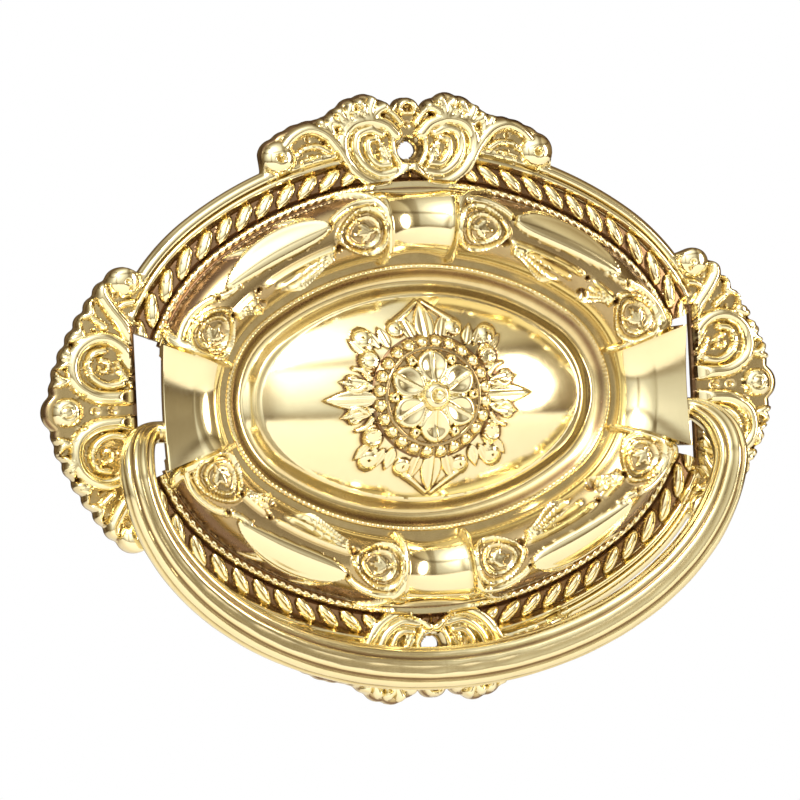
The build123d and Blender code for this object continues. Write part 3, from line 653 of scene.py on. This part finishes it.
def ring_relief(travel, across):
    """Relief on the ring and its painted shade, from the travel along its crown and the arc length outwards."""
    flare = np.where(across > 0, 4.6, 0.9) * (across / 6.5) ** 2
    collar = travel - (BAND_HALF + 0.35 + flare)
    side_collar = (QUARTER - travel) - (SIDE_HALF + 0.35 + 0.3 * flare)
    height = 0.8 * np.maximum(ridge(collar, 0.7), ridge(side_collar, 0.75))
    for centre, heading in ((FLANK_BUD, 1), (SIDE_BUD, -1)):
        run, side = (travel - centre) * heading, across + 0.5
        level = np.hypot(run / BUD_HALF_LENGTH, side / np.maximum(2.7 - 0.30 * run, 0.8))
        height = np.maximum(height, 0.85 * bump(level - 0.98, 0.2))
        height = np.maximum(height, 0.55 * bump(level - 0.66, 0.14))
        height = height - 0.35 * bump(level - 0.82, 0.12)
        for start, angle, length in BUD_LEAVES:
            height = np.maximum(height, petal(run, side, (start, 0), angle, length, 1.0, 0.5, 0.3))
        height = np.maximum(height, stroke(run, side, BUD_FRAME, 0.6, 0.75, 0.6))

    # The long smooth leaf between the buds, its barbs, and the ribs that fan out under it
    share = np.clip((travel - LEAF_START) / LEAF_LENGTH, 0, 1)
    half = 2.2 * np.sin(pi * np.clip(share, 0.02, 0.98) ** 0.8) ** 0.6
    place = (across - 1.5 - 0.7 * np.sin(pi * share)) / np.maximum(half, 0.05)
    leaf = 0.72 * np.sqrt(np.clip(1 - np.abs(place) ** 3.5, 0, 1)) + 0.15 * bump(place - 0.7, 0.3)
    height = np.maximum(height, np.where((share > 0) & (share < 1), leaf, 0))
    for start in (14.2, 21.2):
        barb = [(start, 2.6), (start + 1.6, 4.2), (start + 3.6, 5.5)]
        height = np.maximum(height, stroke(travel, across, barb, 1.1, 0.7, 0.35))
    for number in range(4):
        fan = -1.35 - 0.35 * number - 0.82 * number * ease(travel, 12.5, 20.0)
        end = 21.8 - 1.2 * number
        length = ease(travel, 11.9 + 0.3 * number, 13.2) * (1 - ease(travel, end, end + 2.4))
        height = np.maximum(height, 0.85 * bump(across - fan, 0.56) * length)
        back_fan = -1.3 - 0.3 * number - 0.8 * number * (1 - ease(travel, 24.6, 28.6))
        length = ease(travel, 24.6, 25.8) * (1 - ease(travel, 28.6, 29.6))
        height = np.maximum(height, 0.75 * bump(across - back_fan, 0.52) * length)
    pits = np.zeros_like(travel)
    for pit_travel, pit_across, radius in RING_PITS:
        pits = np.maximum(pits, bump(np.hypot(travel - pit_travel, across - pit_across), radius))
    height = height - 0.9 * pits

    # Painted shade on the low ground beside the leaves, mostly on the outer flank, and in the pits
    on_leaves = ease(travel, BAND_HALF + 0.3, BAND_HALF + 0.6)
    on_leaves = on_leaves * ease(QUARTER - travel, SIDE_HALF, SIDE_HALF + 0.4)
    low = 1 - ease(height, 0.12, 0.4)
    outside = ease(across, 3.0, 4.2)
    painted_shade = low * (0.8 * outside + 0.6 * (1 - outside) * ease(across, -4.8, -4.2))
    painted_shade = np.maximum(painted_shade, 0.9 * pits) * on_leaves * ease(collar, 0.2, 0.7) * ease(side_collar, 0.2, 0.7)
    return height * on_leaves * ease(6.9 - np.abs(across), 0, 0.8), painted_shade


def ring_front(travel, from_side, flank_dip, side_dip, limit, beside_slot):
    """Offsets, heights and tarnish with painted shade over the ring's front, from its inner step to its outer
    foot.
    """
    turn = np.linspace(pi, 0, RING_CELLS + 1)[None]
    from_crown = pi / 2 - turn
    across = RING_RADIUS * from_crown + 0 * travel
    relief, painted_shade = ring_relief(travel + 0 * turn, across)
    offset = RING_OUTWARD + (RING_RADIUS - FLANK_SQUEEZE * flank_dip + relief) * np.cos(turn)
    height = RING_SPRING + (RING_RADIUS - flank_dip - side_dip + relief) * np.sin(turn)
    height = np.maximum(height, RING_SPRING)
    share = np.clip(from_crown / (ROOF_REACH * pi / 2), 0, 1)
    cliff = np.clip((from_crown / (pi / 2) - ROOF_REACH) / (1 - ROOF_REACH), 0, 1)
    roof = RING_TOP + (BRIDGE_TOP - RING_TOP) * share - side_dip - 0.1 * np.clip(cliff * 20, 0, 1)
    drop = np.where(from_side < SIDE_HALF - 1, SHEET, ROOF_DROP)
    on_bridge = (from_side < SIDE_HALF) & (from_crown > 0)
    offset = np.where(on_bridge, RING_OUTWARD + (limit - RING_OUTWARD) * share, offset)
    height = np.where(on_bridge, roof - (drop - 0.1) * np.clip(cliff * 1.05 - 0.05, 0, 1), height)
    offset = np.where(beside_slot, np.minimum(offset, limit), offset)
    step = np.array([[0, 0.3, 0.6]]) + STEP_OFFSET + 0 * travel
    flange = np.array([[4.78, 5.05]]) + 0 * travel
    flange = np.where(beside_slot, np.minimum(flange, limit - [[0.02, 0.04]]), flange)
    flange_height = np.where(from_side < SIDE_HALF, height[:, -1:] - [[0.03, 0.5]], [[1.97, 1.4]])
    # Tarnish in the hollows, and painted shade down the inner flank to the step and along the outer foot, where
    # the flange takes the backs' darkness
    shade = recess(np.concatenate([0 * step, relief, 0 * flange], 1), True)
    painted_shade = np.maximum(painted_shade, 0.5 * ease(-across, 5.4, 6.8))
    shade = np.maximum(shade, np.concatenate([0.5 + 0 * step, painted_shade, BACK_DARKNESS + 0 * flange], 1))
    offset = np.concatenate([step, offset, flange], 1)
    return offset, np.concatenate([RING_SPRING + 0 * step, height, flange_height], 1), shade


def ring_back(from_side, flank_dip, side_dip, limit, beside_slot):
    """Offsets and heights under the ring's sheet, from its outer foot to its inner step."""
    turn = np.linspace(0, pi, 9)[None]
    offset = RING_OUTWARD + (RING_RADIUS - SHEET - FLANK_SQUEEZE * flank_dip) * np.cos(turn)
    height = HOLLOW_FOOT + (RING_RADIUS - flank_dip - side_dip) * np.sin(turn)
    height = np.minimum(height, RING_TOP - SHEET - flank_dip - side_dip)
    under_roof = (from_side < SIDE_HALF - 1) & (turn < pi / 2)
    reach = RING_OUTWARD + (limit - 0.05 - RING_OUTWARD) * (1 - turn / (pi / 2))
    offset = np.where(under_roof, reach, offset)
    height = np.where(under_roof, BRIDGE_TOP - SHEET - side_dip - 0.35 * np.sin(turn) - 0.05, height)
    offset = np.where(beside_slot, np.minimum(offset, limit - 0.5), offset)
    ends = STEP_OFFSET + 0 * limit, HOLLOW_FOOT + 0 * limit
    return np.concatenate([offset, ends[0]], 1), np.concatenate([height, ends[1]], 1)


def ring():
    """The hollow ring: an arch round the oval, with a level roof over each pin."""
    feet, normals = oval.rays(RING_RAYS, 0)
    travel = oval.place(feet[:, 0], feet[:, 1])[1][:, None]
    from_side = QUARTER - travel
    flank_dip = BAND_DIP * np.clip(1 - (travel / BAND_HALF) ** 2, 0, 1)
    side_dip = BAND_DIP * np.clip(1 - (from_side / SIDE_HALF) ** 2, 0, 1)
    limit = (BRIDGE_EDGE - oval.end_centre) / np.maximum(np.abs(normals[:, :1]), 0.5) - oval.end_radius
    beside_slot = (np.abs(feet[:, 1:]) < TRIM_HALF) & (np.abs(feet[:, :1]) > oval.end_centre)
    shape = from_side, flank_dip, side_dip, limit, beside_slot
    offset, height, tarnish = ring_front(travel, *shape)
    front, back = (
        np.concatenate([feet[:, None] + normals[:, None] * out[..., None], up[..., None]], -1)
        for out, up in ((offset, height), ring_back(*shape))
    )
    return band("plate_ring", front, back, tarnish)


# Groove, dome and rosette
DOME_HALF_WIDTH = OVAL_HALF_WIDTH - DOME_GAP
DOME_HALF_HEIGHT = OVAL_HALF_HEIGHT - DOME_GAP
GROOVE_OFFSET, GROOVE_HALF, GROOVE_DEPTH = -7.3, 1.75, 1.1
LIP_OFFSET = -5.35
DOME_RAYS = 900
DOME_CELLS = 76
ROSETTE_RADIUS = 8.1
ROSETTE_TOP = 10.0
ROSETTE_BEADS = 24
PETALS = 6
ROSETTE_CELLS = 130


def dome_height(x, y):
    """Height of the plain dome, which falls below the groove outside its edge."""
    bend = (DOME_HALF_WIDTH**2 + DOME_RISE**2) / (2 * DOME_RISE)
    sunk = (DOME_HALF_HEIGHT**2 - DOME_RISE**2) / (2 * DOME_RISE)
    reach = np.sqrt(np.clip(bend**2 - x**2, 0, None)) - bend + sunk + DOME_RISE
    return DOME_FOOT + np.sqrt(np.clip(reach**2 - y**2, 0, None)) - sunk


def dome_leaves(x, y):
    """Relief of the leaves that reach out from the rosette: long on the axes, round between them."""
    x, y = np.abs(x), np.abs(y)
    bud = 0.75 * ridge(np.hypot((x - 8.0) / 1.35, (y - 4.9) / 1.75), 1.0)
    bud = bud + 0.35 * bump(np.hypot(x - 8.0, y - 4.9) - 1.0, 0.3)
    return carving(x, y, {
        petal: [
            ((7.0, 0), 0, 7.2, 2.7, 0.7, 0.35), ((7.6, 1.4), 12, 4.6, 1.7, 0.7, 0.2),
            ((8.3, 5.6), 48, 3.0, 1.2, 0.6, 0.2), ((7.6, 6.2), 88, 2.6, 1.2, 0.6, 0.2),
            ((6.4, 6.4), 62, 2.9, 1.3, 0.6, 0.2), ((5.2, 6.4), 70, 3.0, 1.6, 0.7, 0.25),
            ((0.0, 6.8), 90, 5.7, 2.8, 0.65, 0.35), ((1.6, 7.0), 70, 4.0, 1.8, 0.55, 0.25),
        ],
        stroke: [
            ([(8.0, 2.6), (8.9, 3.6), (10.0, 4.0)], 0.45, 0.7, 0.7),
            ([(3.6, 9.9), (2.2, 10.9), (0.4, 12.3)], 0.45, 0.6, 0.7),
        ],
        curl: [((10.1, 2.3), 1.35, -150, 290, 0.5, 0.9)],
        boss: [((8.4, 7.9), 1.35, 0.75, 0.15), ((3.9, 8.9), 1.2, 0.75, 0.15)],
    }, more=bud)


def dome_ring():
    """The groove and the dome, from the ring's inner step to under the rosette."""
    feet, normals = oval.rays(DOME_RAYS, STEP_OFFSET)
    start = feet + normals * STEP_OFFSET
    half_width, half_height = OVAL_HALF_WIDTH + STEP_OFFSET, OVAL_HALF_HEIGHT + STEP_OFFSET
    angle = np.arctan2(start[:, 1] / half_height, start[:, 0] / half_width)
    end = np.stack([np.cos(angle), np.sin(angle)], -1) * (ROSETTE_RADIUS - 0.5)
    share = np.linspace(0, 1, DOME_CELLS + 1) ** 1.12
    flat = start[:, None] + (end - start)[:, None] * share[None, :, None]
    x, y = flat[..., 0], flat[..., 1]
    offset, travel = oval.place(x, y)
    offset = np.where(np.hypot(x / 20, y / 11) < 1, -9.5, offset)
    lip = 0.25 * ridge(offset - LIP_OFFSET, 0.32) * (0.8 + 0.2 * np.cos(2 * pi * travel / 0.8))
    in_groove = np.clip((offset - GROOVE_OFFSET) / GROOVE_HALF, -1, 1)
    groove = RING_SPRING + lip - GROOVE_DEPTH * np.cos(in_groove * pi / 2) ** 1.4
    dome = dome_height(x, y)
    relief = dome_leaves(x, y)
    height = np.maximum(groove, dome + relief)
    off_dome = ease(groove - dome, -0.1, 0.25)
    # Painted shade round the leaves' edges and down into the groove, with tarnish in the hollows
    near_leaves = blurred(ease(relief, 0.1, 0.4), 6, True) * (1 - ease(relief, 0.12, 0.45))
    shade = recess(1.6 * relief, True, 6) + 1.1 * near_leaves
    shade = shade + off_dome * (0.40 + 0.3 * bump(offset + 6.1, 0.7))
    front = np.stack([x, y, height], -1)
    pick = np.linspace(DOME_CELLS, 0, 9).round().astype(int)
    low = np.maximum(np.minimum(height, dome) - SHEET, 0.15)[:, pick]
    low[:, -1] = RING_SPRING - SHEET
    back = np.stack([x[:, pick], y[:, pick], low], -1)
    return band("plate_dome", front, back, shade)


def rosette():
    """The disc on the dome: a ring of beads, six cupped petals and a cupped boss."""
    line = np.linspace(-1, 1, ROSETTE_CELLS + 1)
    across, up = np.meshgrid(line, line, indexing="ij")
    x = ROSETTE_RADIUS * across * np.sqrt(1 - up**2 / 2)
    y = ROSETTE_RADIUS * up * np.sqrt(1 - across**2 / 2)
    radius, angle = np.hypot(x, y), np.arctan2(y, x)
    relief = 0.1 + 0.3 * ridge(radius - 6.25, 0.3)
    pitch = 2 * pi / ROSETTE_BEADS
    bead_angle = (angle / pitch - np.floor(angle / pitch) - 0.5) * pitch
    bead = np.hypot(radius * np.cos(bead_angle) - 7.2, radius * np.sin(bead_angle))
    relief = np.maximum(relief, 0.85 * ridge(bead, 0.85))
    for number in range(PETALS):
        turn = (number + 0.5) * 2 * pi / PETALS
        run, side = x * cos(turn) + y * sin(turn) - 3.7, -x * sin(turn) + y * cos(turn)
        wide = 2.05 + 0.22 * run - 0.12 * run**2
        level = np.hypot(run / 2.35, side / np.maximum(wide, 0.3))
        cupped = 1.35 * np.sqrt(np.clip(1 - level**6, 0, 1)) * (0.42 + 0.5 * level**2) + 0.28 * bump(side, 0.3)
        relief = np.maximum(relief, np.where(level < 1, cupped, 0))
        between = turn + pi / PETALS
        heading = np.array([cos(between), sin(between)])
        relief = np.maximum(relief, boss(x, y, 5.35 * heading, 0.75, 1.1, 0.3))
        relief = np.maximum(relief, petal(x, y, 1.5 * heading, degrees(between), 3.2, 1.1, 1.0, 0.2))
    cup = 2.35 * ridge(radius, 1.95) ** 0.6 - 1.3 * bump(radius, 1.25) + 0.9 * ridge(np.hypot(x - 0.2, y), 0.6)
    relief = np.maximum(relief, cup)
    base = dome_height(x, y) + 0.62 - 0.35 * ease(radius, 7.3, ROSETTE_RADIUS)
    height = np.minimum(base + relief, ROSETTE_TOP)
    front = np.stack([x, y, height], -1)
    back = np.stack([x, y, dome_height(x, y) - SHEET], -1)
    keep = np.ones((ROSETTE_CELLS, ROSETTE_CELLS), bool)
    # Painted shade in the gaps between beads and petals and round the disc's edge
    painted_shade = 0.62 * ease(0.75 - relief, 0, 0.4) + 0.35 * ease(radius, 7.7, ROSETTE_RADIUS)
    return shell("plate_rosette", front, back, keep, np.maximum(recess(relief, False, 5), painted_shade))


# Bail
BAIL_SECTION_POINTS = 72
BOW_STEPS, ELBOW_STEPS, PIN_STEPS = 200, 70, 12
REEDS = (62, 7, 0.34), (118, 7, 0.34), (22, 8, 0.22), (158, 8, 0.22), (90, 5, 0.10)


def bail_route():
    """Middle line of the bail's right half, with its width, its depth and its share of reeding."""
    turn = np.radians(np.linspace(0, 80, BOW_STEPS))
    bow = np.stack([
        BAIL_HALF_WIDTH * np.sin(turn),
        -BAIL_SHOULDER_DROP - BAIL_BOW_DROP * np.cos(turn),
        BAIL_HEIGHT + BAIL_ARM_LIFT * np.sin(turn) ** 2,
    ], -1)
    shoulder = bow[-1]
    heading = bow[-1] - bow[-2]
    heading /= np.linalg.norm(heading)
    root = np.array([PIN_FACE, -PIN_DROP, PIN_HEIGHT])
    handles = shoulder, shoulder + heading * ELBOW_UPWARD, root + [ELBOW_OUTWARD, 0, 0], root
    share = np.linspace(0, 1, ELBOW_STEPS + 1)[1:, None]
    weights = (1 - share) ** 3, 3 * share * (1 - share) ** 2, 3 * share**2 * (1 - share), share**3
    elbow = sum(weight * handle for weight, handle in zip(weights, handles))
    pin = root - np.array([PIN_LENGTH, 0, 0]) * np.linspace(0, 1, PIN_STEPS + 1)[1:, None]
    along_elbow = np.linspace(0, 1, ELBOW_STEPS)

    def size(on_bow, on_arm):
        to_pin = on_arm + (2 * PIN_RADIUS - on_arm) * ease(along_elbow, 0.25, 1)
        return np.concatenate([on_bow, to_pin, np.full(PIN_STEPS, 2 * PIN_RADIUS)])

    swell = (BAIL_BOW_WIDTH - BAIL_ARM_WIDTH) * (1 - np.linspace(0, 1, BOW_STEPS) ** 2)
    width = size(BAIL_ARM_WIDTH + swell, BAIL_ARM_WIDTH)
    depth = size(np.full(BOW_STEPS, BAIL_DEPTH), BAIL_DEPTH)
    reeding = np.concatenate([np.ones(BOW_STEPS), 1 - ease(along_elbow, 0.7, 1), np.zeros(PIN_STEPS)])
    return np.concatenate([bow, elbow, pin]), width, depth, reeding


def bail():
    """The cast bail: one reeded bar with an elbow and a pin at each end."""
    route, *sizes = bail_route()
    route = np.concatenate([route[:0:-1] * [-1, 1, 1], route])
    width, depth, reeding = (np.concatenate([values[:0:-1], values])[:, None] for values in sizes)
    heading = np.gradient(route, axis=0)
    heading /= np.linalg.norm(heading, axis=1)[:, None]
    side = np.zeros_like(route)
    middle = len(route) // 2
    side[middle] = (0, -1, 0)
    for step, end in ((1, len(route)), (-1, -1)):
        for number in range(middle + step, end, step):
            before = side[number - step]
            carried = before - heading[number] * (before @ heading[number])
            side[number] = carried / np.linalg.norm(carried)
    up = np.cross(heading, side)
    up *= np.sign(up[middle, 2])
    angle = np.linspace(0, 2 * pi, BAIL_SECTION_POINTS, endpoint=False)[None]
    square = 1 - 0.14 * reeding
    wide = np.sign(np.cos(angle)) * np.abs(np.cos(angle)) ** square * width / 2
    deep = np.sign(np.sin(angle)) * np.abs(np.sin(angle)) ** square * depth / 2
    groove = sum(rise * bump(np.degrees(angle) - place, 1.6 * half) for place, half, rise in REEDS) * reeding
    dent = waves(route[:, :1] + 8 * np.cos(angle), route[:, 1:2] + 8 * np.sin(angle), size=5, seed=4)
    stretch = 1 + (0.035 * dent * reeding - groove) / (width / 2)
    wide, deep = ((values * stretch)[..., None] for values in (wide, deep))
    points = route[:, None] + side[:, None] * wide + up[:, None] * deep
    # The reeds' grooves are drawn darker, as tarnish and painted shade
    return tube("bail_bar", points, 0.1 + 2.2 * groove, False, 50)


class Value:
    """A node's output, or a number, that can be added, multiplied and so on."""

    def __init__(self, tree, socket):
        self.tree = tree
        self.socket = socket

    def maths(self, operation, *others):
        return self.tree.node("ShaderNodeMath", {"operation": operation}, dict(enumerate((self, *others))))

    def __add__(self, other):
        return self.maths("ADD", other)

    __radd__ = __add__

    def __sub__(self, other):
        return self.maths("SUBTRACT", other)

    def __rsub__(self, other):
        return Value(self.tree, other).maths("SUBTRACT", self)

    def __mul__(self, other):
        return self.maths("MULTIPLY", other)

    __rmul__ = __mul__

    def clipped(self):
        return self.tree.node("ShaderNodeClamp", {}, {"Value": self})


class Finish:
    """A material, or the world, made of nodes."""

    def __init__(self, owner):
        owner.use_nodes = True
        self.nodes = owner.node_tree.nodes
        self.links = owner.node_tree.links
        self.nodes.clear()

    def node(self, kind, settings=None, sockets=None, output=0):
        """A node of this type, its settings first and then its sockets. It gives back one output."""
        made = self.nodes.new(kind)
        for key, value in (settings or {}).items():
            if key == "stops":
                ramp = made.color_ramp
                while len(ramp.elements) < len(value):
                    ramp.elements.new(0.5)
                for element, (place, *colour) in zip(ramp.elements, value):
                    element.position = place
                    element.color = (*colour, 1)
            else:
                setattr(made, key, value)
        for key, value in (sockets or {}).items():
            value = value.socket if isinstance(value, Value) else value
            if isinstance(value, bpy.types.NodeSocket):
                self.links.new(value, made.inputs[key])
            else:
                made.inputs[key].default_value = value
        return Value(self, made.outputs[output]) if len(made.outputs) else None

    def noise(self, scale, detail, roughness, stretch=(1, 1, 1)):
        """Fine or broad noise over the object, from 0 to 1, at this many lumps to the metre."""
        place = self.node("ShaderNodeTexCoord", output="Object")
        place = self.node("ShaderNodeMapping", {}, {"Vector": place, "Scale": stretch})
        return self.node("ShaderNodeTexNoise", {}, {
            "Vector": place, "Scale": scale, "Detail": detail, "Roughness": roughness,
        })

    def mix(self, share, first, second):
        """A colour between two colours."""
        return self.node("ShaderNodeMix", {"data_type": "RGBA"}, {0: share, 6: first, 7: second}, 2)


def brass(name, bright, mid, dark, roughness, scratches):
    """Brass that is bright where it is rubbed and brown in its recesses, from an attribute that holds tarnish
    and painted shade.
    """
    material = bpy.data.materials.new(name)
    finish = Finish(material)
    tarnish = finish.node("ShaderNodeAttribute", {"attribute_name": "tarnish"}, output="Fac")
    cloud = finish.noise(scale=95, detail=4, roughness=0.6)
    speckle = finish.noise(scale=900, detail=2, roughness=0.6)
    upright, level = (finish.noise(700, 2, 0.5, stretch) for stretch in ((1, 1, 0.08), (0.08, 1, 1)))
    # The attribute darkens the colour with tarnish in the hollows and painted shade in crevices, at feet and
    # near edges.
    cover = (tarnish + (cloud - 0.5) * 0.2 + (speckle - 0.5) * 0.08).clipped()
    colour = finish.mix((cover * 1.8).clipped(), (*bright, 1), (*mid, 1))
    deep = ((cover - 0.42) * 3.0).clipped()
    colour = finish.mix(deep, colour, (*dark, 1))
    rough = (roughness + cover * 0.2 + (speckle - 0.5) * 0.05).clipped()
    height = (upright + level) * scratches + cloud * 0.6
    bump_node = finish.node("ShaderNodeBump", {}, {"Strength": 0.22, "Distance": 0.00006, "Height": height})
    shader = finish.node("ShaderNodeBsdfPrincipled", {}, {
        "Base Color": colour, "Metallic": 1.0, "Roughness": rough, "Normal": bump_node,
    })
    finish.node("ShaderNodeOutputMaterial", {}, {"Surface": shader})
    return material


STAMPED = brass("stamped_brass", (0.90, 0.80, 0.50), (0.70, 0.56, 0.27), (0.21, 0.125, 0.065), 0.12, 0.3)
CAST = brass("cast_brass", (0.90, 0.80, 0.49), (0.68, 0.54, 0.25), (0.22, 0.14, 0.065), 0.15, 1.0)
STRAP = brass("strap_brass", (0.62, 0.44, 0.18), (0.45, 0.29, 0.11), (0.12, 0.06, 0.03), 0.38, 0.8)

plate_pieces = field() + [ring(), dome_ring(), rosette()]
for piece in plate_pieces:
    piece.data.materials.append(STAMPED)
    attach(piece, "plate")
    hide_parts("back_plate")

bail_bar = bail()
bail_bar.data.materials.append(CAST)
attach(bail_bar, "bail")
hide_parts("bail")

for name in ("bail_keeper_left", "bail_keeper_right"):
    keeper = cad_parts[name]
    keeper.data.materials.clear()
    keeper.data.materials.append(STRAP)

# Floor, well below the pull, and a white surrounding with a darker side for the brass to reflect
FLOOR_DROP = 0.14
FLOOR_REACH = 0.6


def pale_floor():
    """A round pale floor."""
    mesh = bpy.data.meshes.new("floor")
    corners = [
        (FLOOR_REACH * cos(turn), FLOOR_REACH * sin(turn), -FLOOR_DROP)
        for turn in (radians(angle) for angle in range(0, 360, 5))
    ]
    mesh.from_pydata(corners, [], [list(range(len(corners)))])
    floor = placed("floor", mesh)
    mesh.materials.append(bpy.data.materials.new("pale_floor"))
    finish = Finish(mesh.materials[0])
    ray = finish.node("ShaderNodeLightPath", output="Is Camera Ray")
    pale = finish.node("ShaderNodeBsdfDiffuse", {}, {"Color": (0.8, 0.78, 0.75, 1)})
    white = finish.node("ShaderNodeEmission", {}, {"Color": (1, 1, 1, 1), "Strength": 1.0})
    both = finish.node("ShaderNodeMixShader", {}, {0: ray * 0.85, 1: pale, 2: white})
    finish.node("ShaderNodeOutputMaterial", {}, {"Surface": both})


def surroundings():
    """White for the camera. The brass sees a bright room up to the left, crossed by a few dark bands."""
    world = bpy.data.worlds.new("surroundings")
    bpy.context.scene.world = world
    finish = Finish(world)
    direction = finish.node("ShaderNodeTexCoord", output="Generated")

    def seen(towards, stops):
        """Light that changes from behind to ahead of this direction, as stops of place and colour."""
        dot = finish.node("ShaderNodeVectorMath", {"operation": "DOT_PRODUCT"}, {
            0: direction, 1: Vector(towards).normalized(),
        }, "Value")
        return finish.node("ShaderNodeValToRGB", {"stops": stops}, {"Fac": dot * 0.5 + 0.5})

    room = seen((-0.45, -0.68, 0.58), [
        (0.0, 0.12, 0.08, 0.04), (0.35, 0.20, 0.14, 0.08), (0.55, 0.30, 0.24, 0.16), (0.68, 0.46, 0.41, 0.32),
        (0.77, 0.66, 0.62, 0.54), (0.86, 0.88, 0.86, 0.80), (0.93, 1.5, 1.5, 1.45), (1.0, 2.8, 2.8, 2.7),
    ])
    levels = seen((0, 0, 1), [
        (0.0, 0.90, 0.86, 0.80), (0.30, 0.95, 0.90, 0.82), (0.35, 0.40, 0.33, 0.24), (0.40, 0.50, 0.43, 0.33),
        (0.45, 1, 1, 1), (0.70, 1, 1, 1), (0.74, 0.30, 0.24, 0.17), (0.79, 1.1, 1.1, 1.1),
    ])
    uprights = seen((1, 0, 0), [
        (0.0, 0.9, 0.9, 0.9), (0.20, 0.9, 0.9, 0.9), (0.24, 0.32, 0.25, 0.17), (0.29, 1, 1, 1),
        (0.66, 1, 1, 1), (0.685, 0.55, 0.50, 0.42), (0.77, 0.50, 0.44, 0.35), (0.79, 1.35, 1.33, 1.25),
    ])
    crossed = room
    for bands in (levels, uprights):
        crossed = finish.node("ShaderNodeVectorMath", {"operation": "MULTIPLY"}, {0: crossed, 1: bands})
    rays = finish.node("ShaderNodeLightPath", output="Is Camera Ray")
    colour = finish.mix(rays, crossed, (1, 1, 1, 1))
    shader = finish.node("ShaderNodeBackground", {}, {"Color": colour, "Strength": 1.0})
    finish.node("ShaderNodeOutputWorld", {}, {"Surface": shader})


def lamp(name, place, size, power, colour=(1, 1, 1)):
    """A soft oval lamp that looks at the pull."""
    data = bpy.data.lights.new(name, "AREA")
    data.shape = "ELLIPSE"
    data.size, data.size_y = size
    data.energy = power
    data.color = colour
    light = placed(name, data)
    light.location = place
    light.rotation_euler = (-Vector(place)).to_track_quat("-Z", "Y").to_euler()


pale_floor()
surroundings()
lamp("key_lamp", (-0.45, -0.55, 0.60), (0.35, 0.35), 9.0)
lamp("fill_lamp", (0.60, -0.50, 0.10), (0.25, 0.5), 3.0, (1.0, 0.95, 0.88))

# Camera at the photograph's viewing angle
CAMERA_TURN = -18.0
CAMERA_RISE = -0.63
CAMERA_ROLL = -2.76
CAMERA_DISTANCE = 575.0
CAMERA_SHIFT = (-2.22, -0.24)
PIXELS_PER_MM = 7.727
PICTURE_WIDTH = 800
SENSOR = 36.0


def stand_camera():
    """The camera that was fitted to the photograph's mouldings."""
    turn, rise, roll = radians(CAMERA_TURN), radians(CAMERA_RISE), radians(CAMERA_ROLL)
    back = Vector((sin(turn) * cos(rise), -cos(turn) * cos(rise), sin(rise)))
    right = (-back).cross(Vector((0, 0, 1))).normalized()
    up = right.cross(-back)
    tilted_right = cos(roll) * right + sin(roll) * up
    tilted_up = -sin(roll) * right + cos(roll) * up
    place = (back * CAMERA_DISTANCE + Vector((CAMERA_SHIFT[0], 0, CAMERA_SHIFT[1]))) * MM
    data = bpy.data.cameras.new("camera")
    data.sensor_fit = "HORIZONTAL"
    data.sensor_width = SENSOR
    data.lens = PIXELS_PER_MM * CAMERA_DISTANCE * SENSOR / PICTURE_WIDTH
    data.clip_start = 0.01
    data.clip_end = 20
    camera = placed("camera", data)
    facing = Matrix((tilted_right, tilted_up, back)).transposed().to_4x4()
    camera.matrix_world = Matrix.Translation(place) @ facing
    bpy.context.scene.camera = camera


stand_camera()
bpy.context.scene.view_settings.view_transform = "Standard"
